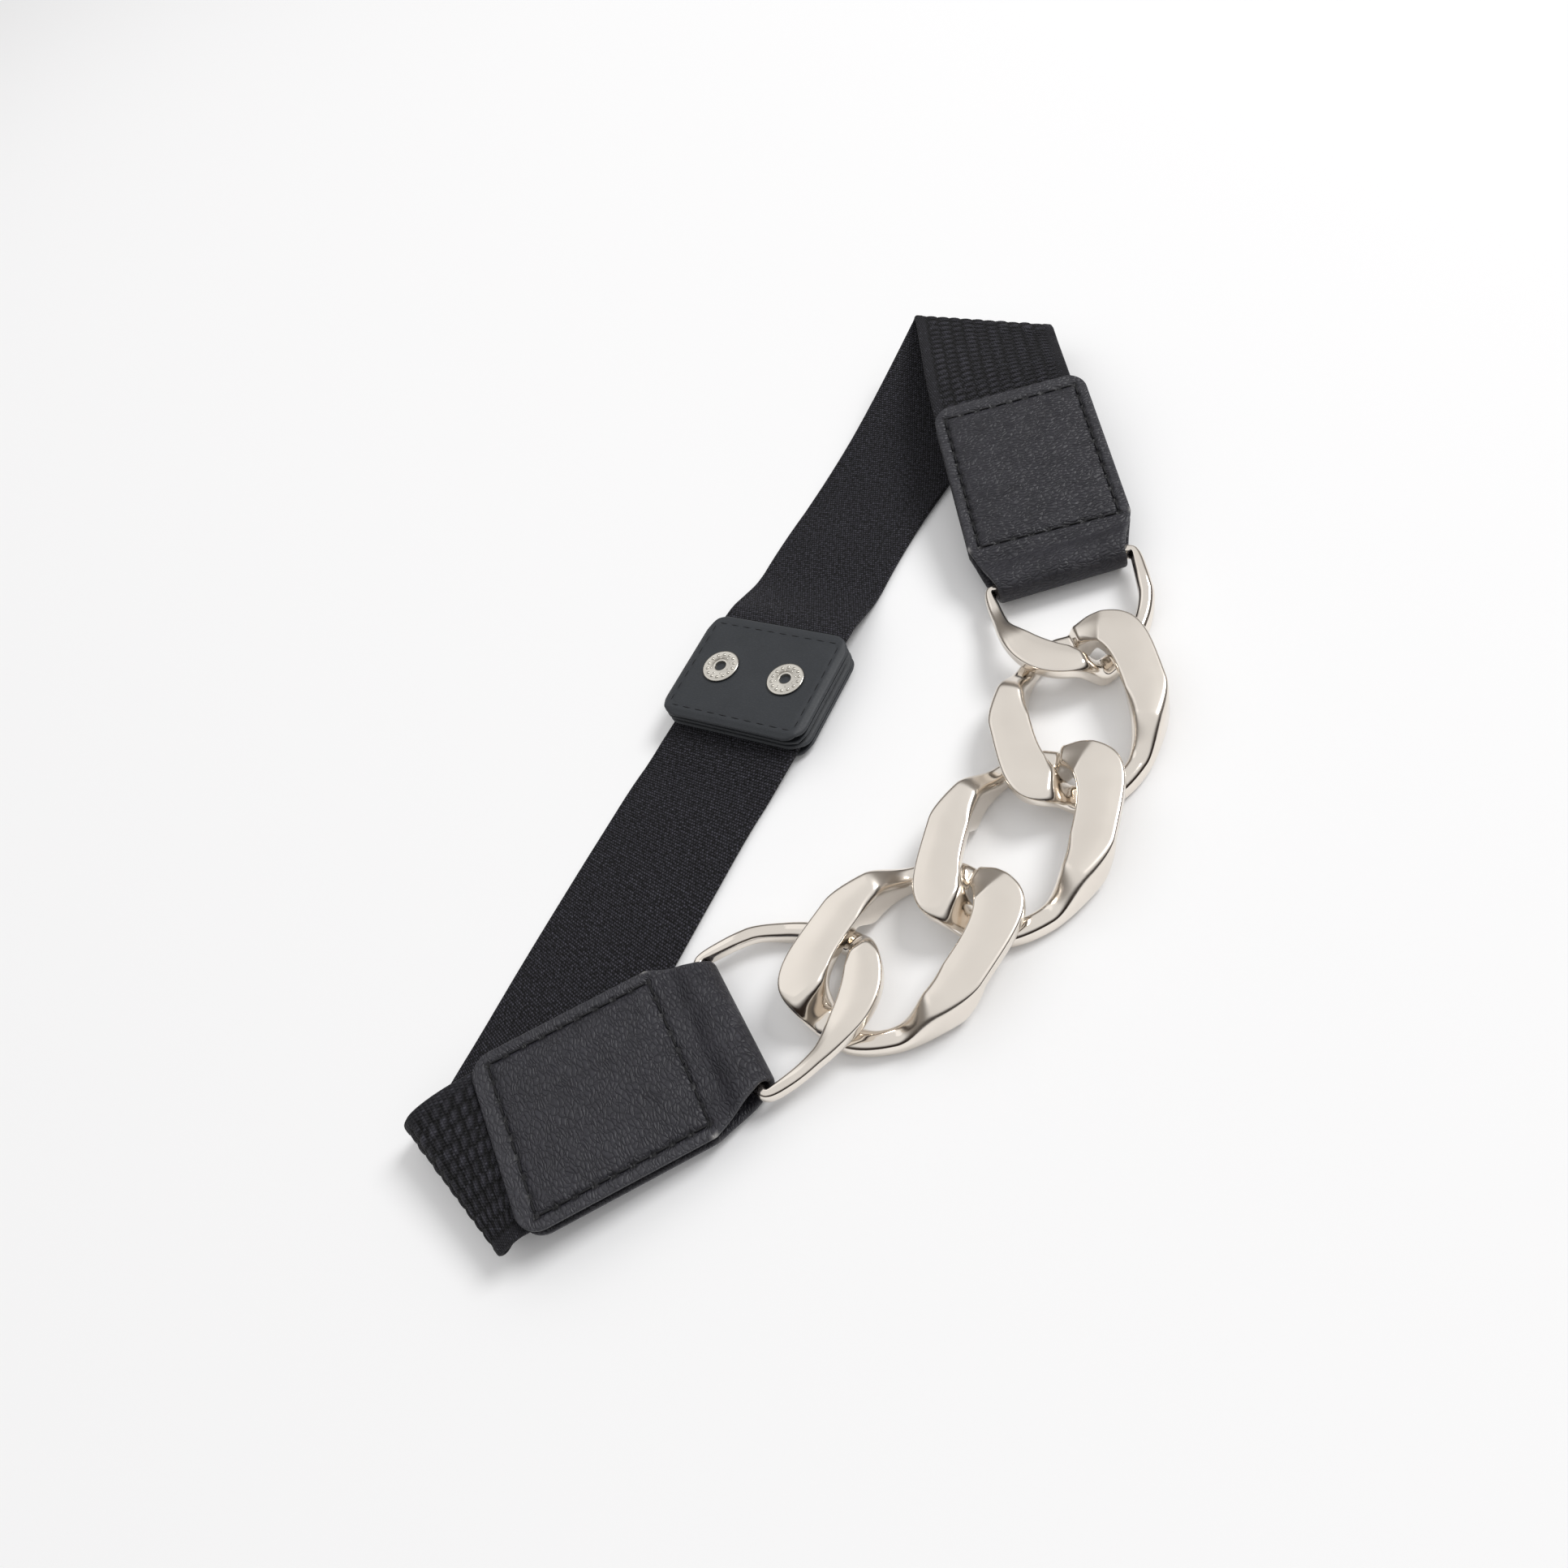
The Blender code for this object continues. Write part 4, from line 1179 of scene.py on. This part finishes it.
levels = patchLevels()
patchAlong = planDirection(patch["heading"])
patchAcross = rightOf(patchAlong)
patchCentre = np.array((*patch["centre"], 0.0))


def patchMiddle(name):
    slips = name.startswith("patch_bottom") or name == "elastic_lower"
    return patchCentre + patchAcross * (patch["slip"] if slips else 0.0)


def roundedDistance(u, v, halfLength, halfWidth, radius):
    # Distance inside a rounded rectangle
    du = np.abs(u) - (halfLength - radius)
    dv = np.abs(v) - (halfWidth - radius)
    outside = np.hypot(np.maximum(du, 0.0), np.maximum(dv, 0.0))
    return radius - outside - np.minimum(np.maximum(du, dv), 0.0)


def squareToRounded(u, v, halfLength, halfWidth, radius):
    # Pulls the grid's corners in so that its rim follows the rounded outline
    du = np.maximum(np.abs(u) - (halfLength - radius), 0.0)
    dv = np.maximum(np.abs(v) - (halfWidth - radius), 0.0)
    tiny = 1e-9
    scale = np.maximum(np.maximum(du, dv), tiny) / np.maximum(np.hypot(du, dv), tiny)
    scale = np.where((du > 0.0) & (dv > 0.0), scale, 1.0)
    newU = np.sign(u) * (np.minimum(np.abs(u), halfLength - radius) + du * scale)
    newV = np.sign(v) * (np.minimum(np.abs(v), halfWidth - radius) + dv * scale)
    return newU, newV


def buildPatch(name):
    halfLength, halfWidth = patch["length"] / 2, patch["width"] / 2
    rows, columns = int(patch["length"] / patch["grid"]), int(patch["width"] / patch["grid"])
    u, v = np.meshgrid(
        np.linspace(-halfLength, halfLength, rows + 1),
        np.linspace(-halfWidth, halfWidth, columns + 1), indexing="ij",
    )
    u, v = squareToRounded(u, v, halfLength, halfWidth, patch["corner"])
    mid = patchMiddle(name) + u[..., None] * patchAlong + v[..., None] * patchAcross
    mid[..., 2] += levels[name]
    # The rims beyond the band are pressed towards the other leather of the pair
    sideRim = halfWidth - np.abs(v)
    endRim = halfLength + (u if name.startswith("patch_top") else -u)
    pressed = smooth(1.0 - np.minimum(sideRim, endRim) / patch["rimReach"])
    mid[..., 2] += pressed * patch["rimBend"] * (1.0 if name.endswith("back") else -1.0)
    normal = np.zeros_like(mid)
    normal[..., 2] = 1.0
    inside = roundedDistance(u, v, halfLength, halfWidth, patch["corner"])
    rounding = edgeRounding(inside, patch["edgeRadius"])
    toStitch = inside - patch["margin"]
    puff, groove, lighterTone = patch["puff"], patch["groove"], patch["lighterEdge"]
    relief = puff["height"] * (1.0 - np.exp(-np.clip(toStitch, 0.0, None) / puff["reach"]))
    relief = relief - groove["depth"] * bell(toStitch, groove["width"])
    level = np.zeros_like(relief)
    onTop = relief if name == "patch_top_face" else level
    onLow = relief if name == "patch_bottom_back" else level
    # colour lighter towards the edge and on the margin outside the stitches
    edge = np.clip(1.0 - inside / lighterTone["reach"], 0.0, 1.0) * lighterTone["strength"]
    edge = edge + np.where(toStitch < -lighterTone["marginFrom"], lighterTone["margin"], 0.0)
    uv = np.dstack((v * mm, u * mm))
    piece = sheetObject(
        "leather_" + name, patchLeather, mid, normal, patch["leather"], (onTop, onLow),
        rounding, uv, {"edge": (edge, edge)},
    )
    settle(piece, name)


def patchSurface(name, sign):
    centre = patchMiddle(name)
    level = levels[name] + sign * (patch["leather"] / 2 - patch["stitch"]["sink"])

    def toSurface(u, v):
        point = centre + u * patchAlong + v * patchAcross
        rim = min(patch["width"] / 2 - abs(v), patch["length"] / 2 + u * sign)
        bend = smooth(1.0 - rim / patch["rimReach"]) * patch["rimBend"] * sign
        return np.array((point[0], point[1], level - bend)), np.array((0.0, 0.0, sign))
    return toSurface


for name in ("patch_top_face", "patch_top_back", "patch_bottom_face", "patch_bottom_back"):
    buildPatch(name)
u, v = patch["length"] / 2 - patch["margin"], patch["width"] / 2 - patch["margin"]
surfaces = [patchSurface("patch_top_face", 1.0), patchSurface("patch_bottom_back", -1.0)]
stitchObject("stitches_patch", [(-u, -v), (u, -v), (u, v), (-u, v)], patch["stitch"], surfaces)


# Press studs: a turned cap, post and ring in one, with rows of small raised dots on the cap

def buildStud(number, place):
    top, radius, thick = levels["stud_top"], stud["capRadius"], stud["capThick"]
    floor, post, inset = top - stud["eyeDepth"], stud["postRadius"], radius - stud["rimInset"]
    profile = [(0.0, floor), (stud["eyeFloor"], floor)]
    profile += [(stud["eyeRadius"] + out, top - down) for out, down in stud["eyeRim"]]
    profile += [(radius - inward, top - down) for inward, down in stud["capRim"]]
    profile += [(inset, top - thick), (post, top - thick), (post, thick), (inset, thick)]
    profile += [(radius - inward, height) for inward, height in stud["ringRim"]]
    profile += [(0.0, 0.0)]
    points = []
    for i in range(stud["steps"]):
        a = 2 * math.pi * i / stud["steps"]
        points += [(place[0] + r * math.cos(a), place[1] + r * math.sin(a), z) for r, z in profile]
    faces = gridFaces(stud["steps"], len(profile), closedRows=True)
    piece = makeObject("cap_stud_" + str(number), points, faces, studMetal)
    turnFacesOut(piece, weld=True)
    piece.data.set_sharp_from_angle(angle=math.radians(stud["sharpFrom"]))
    settle(piece, "stud_" + str(number))


def buildDots(number, place):
    points, faces = [], []
    sides, level = stud["dotSides"], levels["stud_top"] - stud["dotSink"]
    for row, (radius, count, size) in enumerate(stud["dotRows"]):
        for i in range(count):
            a = 2 * math.pi * (i + 0.5 * row) / count
            x, y = place[0] + radius * math.cos(a), place[1] + radius * math.sin(a)
            start = len(points)
            points.append((x, y, level + size * stud["dotTop"]))
            for height, share in stud["dotRings"]:
                reach = size * share
                for j in range(sides):
                    b = 2 * math.pi * j / sides
                    points.append((
                        x + reach * math.cos(b), y + reach * math.sin(b), level + size * height,
                    ))
            upper, lower = start + 1, start + 1 + sides
            for j in range(sides):
                k = (j + 1) % sides
                faces.append((start, upper + j, upper + k))
                faces.append((upper + j, lower + j, lower + k, upper + k))
            faces.append(tuple(range(lower, lower + sides))[::-1])
    piece = makeObject("beads_stud_" + str(number), points, faces, studMetal)
    turnFacesOut(piece)
    settle(piece)


for number, side in ((1, -1.0), (2, 1.0)):
    place = patchCentre + side * patchAcross * stud["spacing"] / 2
    buildStud(number, place)
    buildDots(number, place)
print("patches and studs are made")


# Elastic straps: from inside the patch along the table, round a fold and into the tab

strap = {
    "endInset": 3.0,
    "columns": 112,
    "fineStep": 0.26,
    "fineBeyond": 1.0,
    "coarseStep": 1.6,
    "offTable": 0.15,
    "edgeRadius": 0.8,
    "selvedge": {"width": 2.6, "blend": 0.5, "groove": 0.18, "grooveWidth": 0.28, "shade": 0.35},
    "innerLine": {"depth": 0.10, "place": 1.5, "width": 0.25},
    "ribAlong": 2.1,
    "ribAcross": 3.32,
    "ribSlant": {"elastic_upper": -0.28, "elastic_lower": 0.25},
    "ribHeight": 0.45,
    "ribMiddle": 0.8,  # share of the rib's height that lies under the plain surface
    "ribPowers": (1.1, 0.45),
    "ribWobble": {"share": 0.10, "perColumn": 2.4, "along": 0.35},
    "ribUneven": {"even": 0.86, "share": 0.14, "perRow": 12.9898, "perColumn": 78.233},
    "ribShadePower": 1.6,
    "patchShares": (0.0, 0.35, 0.7, 1.0),
    "entryShares": (0.15, 0.3, 0.45, 0.6, 0.75, 0.9),
    "foldSteps": 25,
}
folds = {
    "elastic_upper": {
        "tab": "tab_upper", "heading": 32.5, "ramp": 13.1, "roll": 23.6, "lead": 5.7,
        "cone": 7.4, "turn": 160.3, "tight": 1.25, "run": 47.5, "entry": -0.03,
    },
    "elastic_lower": {
        "tab": "tab_lower", "heading": 220.5, "ramp": 3.0, "roll": 5.5, "lead": -27.0,
        "cone": 6.8, "turn": 166.0, "tight": 1.3, "run": 5.3, "entry": 0.0,
    },
}
backRuns = {  # along, bow, drop, left lift, right lift
    "elastic_upper": (
        (0.04, 0.012, 0.10, 0.00, 0.0), (0.09, 0.035, 0.45, 0.00, 0.0),
        (0.15, 0.060, 0.85, 0.00, 0.0), (0.21, 0.078, 1.00, 0.00, 0.0),
        (0.32, 0.092, 1.00, 0.00, 0.0), (0.42, 0.089, 1.00, 0.02, 0.0),
        (0.52, 0.068, 1.00, 0.12, 0.0), (0.64, 0.040, 1.00, 0.30, 0.0),
        (0.76, 0.021, 1.00, 0.52, 0.0), (0.88, 0.008, 1.00, 0.76, 0.0),
    ),
    "elastic_lower": (
        (0.04, -0.012, 0.25, 0.00, 0.0), (0.09, -0.032, 0.75, 0.00, 0.0),
        (0.14, -0.045, 1.00, 0.00, 0.0), (0.32, -0.050, 1.00, 0.00, 0.0),
        (0.50, -0.044, 1.00, 0.00, 0.0), (0.68, -0.032, 1.00, 0.10, 0.0),
        (0.84, -0.014, 1.00, 0.45, 0.0),
    ),
}


def foldRulings(spec):
    # The band wound on a cone: left and right ends of its straight lines, and the way on
    heading = planDirection(spec["heading"])
    ramp, lead, cone = (math.radians(spec[key]) for key in ("ramp", "lead", "cone"))
    along = heading * math.cos(ramp) + np.array((0.0, 0.0, math.sin(ramp)))
    across = turned(rightOf(heading), along, spec["roll"])
    start = across * math.cos(lead) + along * math.sin(lead)
    axis = start * math.cos(cone) + np.cross(across, along) * math.sin(cone)
    slantMiddle = lead + math.radians(spec["turn"]) * math.sin(cone) / 2
    tip = spec["tight"] * math.cos(slantMiddle) / math.sin(cone)
    lefts, rights = [], []
    for share in np.linspace(0.0, 1.0, strap["foldSteps"]):
        angle = spec["turn"] * share
        slant = lead + math.radians(angle) * math.sin(cone)
        ray = turned(start, axis, angle)
        lefts.append(ray * tip / math.cos(slant))
        rights.append(ray * (tip + belt["bandWidth"]) / math.cos(slant))
    onward = ray * math.sin(slant) + unit(np.cross(axis, ray)) * math.cos(slant)
    return np.array(lefts), np.array(rights), onward


def eased(start, startPull, stop, stopPull, share):
    square, cube = share ** 2, share ** 3
    return (
        start * (2 * cube - 3 * square + 1) + startPull * (cube - 2 * square + share)
        + stop * (3 * square - 2 * cube) + stopPull * (cube - square)
    )


def patchRows(name):
    along = planDirection(patch["heading"] + (0.0 if name == "elastic_upper" else 180.0))
    across = rightOf(along) * belt["bandWidth"] / 2
    centre = patchMiddle(name) + np.array((0.0, 0.0, levels[name]))
    inner = centre - along * (patch["length"] / 2 - strap["endInset"])
    leaving = centre + along * patch["length"] / 2
    middles = [between(inner, leaving, share) for share in strap["patchShares"]]
    return [(middle - across, middle + across) for middle in middles]


def backRows(name, start, stop, floorLevel):
    run = (stop[0] + stop[1] - start[0] - start[1]) / 2
    swing = rightOf(unit(run)) * -belt["bandWidth"]
    rows = []
    for share, bow, drop, *lift in backRuns[name]:
        edges = []
        for side in (0, 1):
            point = between(start[side], stop[side], share) + swing * bow
            dropped = (start[side][2] - floorLevel) * (1.0 - drop)
            point[2] = floorLevel + dropped + (stop[side][2] - floorLevel) * lift[side]
            edges.append(point)
        rows.append(edges)
    return rows


def strapRows(name):
    # Left and right edges of the middle surface from the patch to the tab
    spec, floorLevel = folds[name], belt["bandThick"] / 2
    plane = tabPlanes[spec["tab"]]
    middle, half = spec["entry"] * belt["bandWidth"], belt["bandWidth"] / 2

    def inTab(back):
        return [plane.points(back, side, 0.0) for side in (middle - half, middle + half)]

    entry = inTab(plane.end)
    lefts, rights, onward = foldRulings(spec)
    tip = entry[0] - onward * spec["run"] - lefts[-1]
    tip[2] = floorLevel - rights[0][2]
    fold = list(zip(lefts + tip, rights + tip))
    rows = patchRows(name)
    rows += backRows(name, rows[-1], fold[0], floorLevel)
    backEnd = len(rows)
    rows += fold
    for share in strap["entryShares"]:
        edges = []
        for leave, enter in zip(fold[-1], entry):
            length = np.linalg.norm(enter - leave)
            pull = plane.panelAxes[0] * -length
            edges.append(eased(leave, onward * length, enter, pull, share))
        rows.append(edges)
    entryRow = len(rows)
    inset = tab["loop"] + strap["endInset"]
    rows += [inTab(back) for back in (plane.end, (plane.end + tab["loop"]) / 2, inset)]
    rows = np.array(rows)
    return rows[:, 0], rows[:, 1], backEnd, entryRow


def throughPoints(lengths, values, wanted):
    # A smooth curve through rows at uneven spacing, with slopes from each row's neighbours
    slopes = np.gradient(values, lengths, axis=0)
    index = np.searchsorted(lengths, wanted, side="right") - 1
    index = np.clip(index, 0, len(lengths) - 2)
    step = (lengths[index + 1] - lengths[index])[:, None]
    share = (wanted - lengths[index])[:, None] / step
    pulls = slopes[index] * step, slopes[index + 1] * step
    return eased(values[index], pulls[0], values[index + 1], pulls[1], share)


def ribShape(across, along, slant):
    # Pillows in columns along the band, each a little slanted like the turns of a cord
    wobble, uneven, powers = strap["ribWobble"], strap["ribUneven"], strap["ribPowers"]
    column = np.floor(across / strap["ribAcross"])
    shareAcross = across / strap["ribAcross"] - column
    lean = slant * (shareAcross - 0.5) * strap["ribAcross"] / strap["ribAlong"]
    turn = along / strap["ribAlong"] - lean
    turn = turn + wobble["share"] * np.sin(column * wobble["perColumn"] + along * wobble["along"])
    row = np.floor(turn)
    bulge = np.sin(math.pi * (turn - row)) ** powers[0]
    bulge = bulge * np.sin(math.pi * shareAcross) ** powers[1]
    chance = np.sin(row * uneven["perRow"] + column * uneven["perColumn"])
    return bulge * (uneven["even"] + uneven["share"] * chance)


def buildStrap(name):
    width = belt["bandWidth"]
    lefts, rights, backEnd, entryRow = strapRows(name)
    lengths = runningLength((lefts + rights) / 2)
    fineFrom, fineTo = lengths[backEnd - 1], lengths[entryRow] + strap["fineBeyond"]
    wanted = np.concatenate((
        np.arange(0.0, fineFrom, strap["coarseStep"]),
        np.arange(fineFrom, fineTo, strap["fineStep"]),
        np.arange(fineTo, lengths[-1], strap["coarseStep"]), [lengths[-1]],
    ))
    left = throughPoints(lengths, lefts, wanted)
    right = throughPoints(lengths, rights, wanted)
    share = np.linspace(0.0, 1.0, strap["columns"] + 1)
    mid = between(left[:, None, :], right[:, None, :], share[None, :, None])
    mid[..., 2] = np.maximum(mid[..., 2], belt["bandThick"] / 2 + strap["offTable"])
    across, along = np.meshgrid(share * width, wanted)
    fromEdge = np.minimum(across, width - across)
    selvedge, line = strap["selvedge"], strap["innerLine"]
    ribbed = smooth((fromEdge - selvedge["width"]) / selvedge["blend"])
    ribs = ribShape(across, along, strap["ribSlant"][name]) * ribbed
    outer = strap["ribHeight"] * (ribs - strap["ribMiddle"] * ribbed)
    outer = outer - selvedge["groove"] * bell(fromEdge - selvedge["width"], selvedge["grooveWidth"])
    inner = -line["depth"] * bell(fromEdge - line["place"], line["width"])
    # painted shade: the rise mask darkens the outer face's colour in the furrows between ribs and
    # gives the plain selvedge a middle shade
    rise = np.clip(ribs, 0.0, 1.0) ** strap["ribShadePower"] * ribbed
    rise = rise + selvedge["shade"] * (1.0 - ribbed)
    zero, one = np.zeros_like(rise), np.ones_like(rise)
    uv = np.dstack((across * mm, along * mm))
    piece = sheetObject(
        "strap_" + name, elasticCloth, mid, surfaceNormals(mid), belt["bandThick"],
        (inner, outer), edgeRounding(fromEdge, strap["edgeRadius"]), uv,
        {"ribbed": (zero, one), "rise": (zero, rise)},
    )
    settle(piece, name)
    print(name, "is", round(lengths[-1], 1), "mm long flat")


for name in folds:
    buildStrap(name)
print("straps are made")
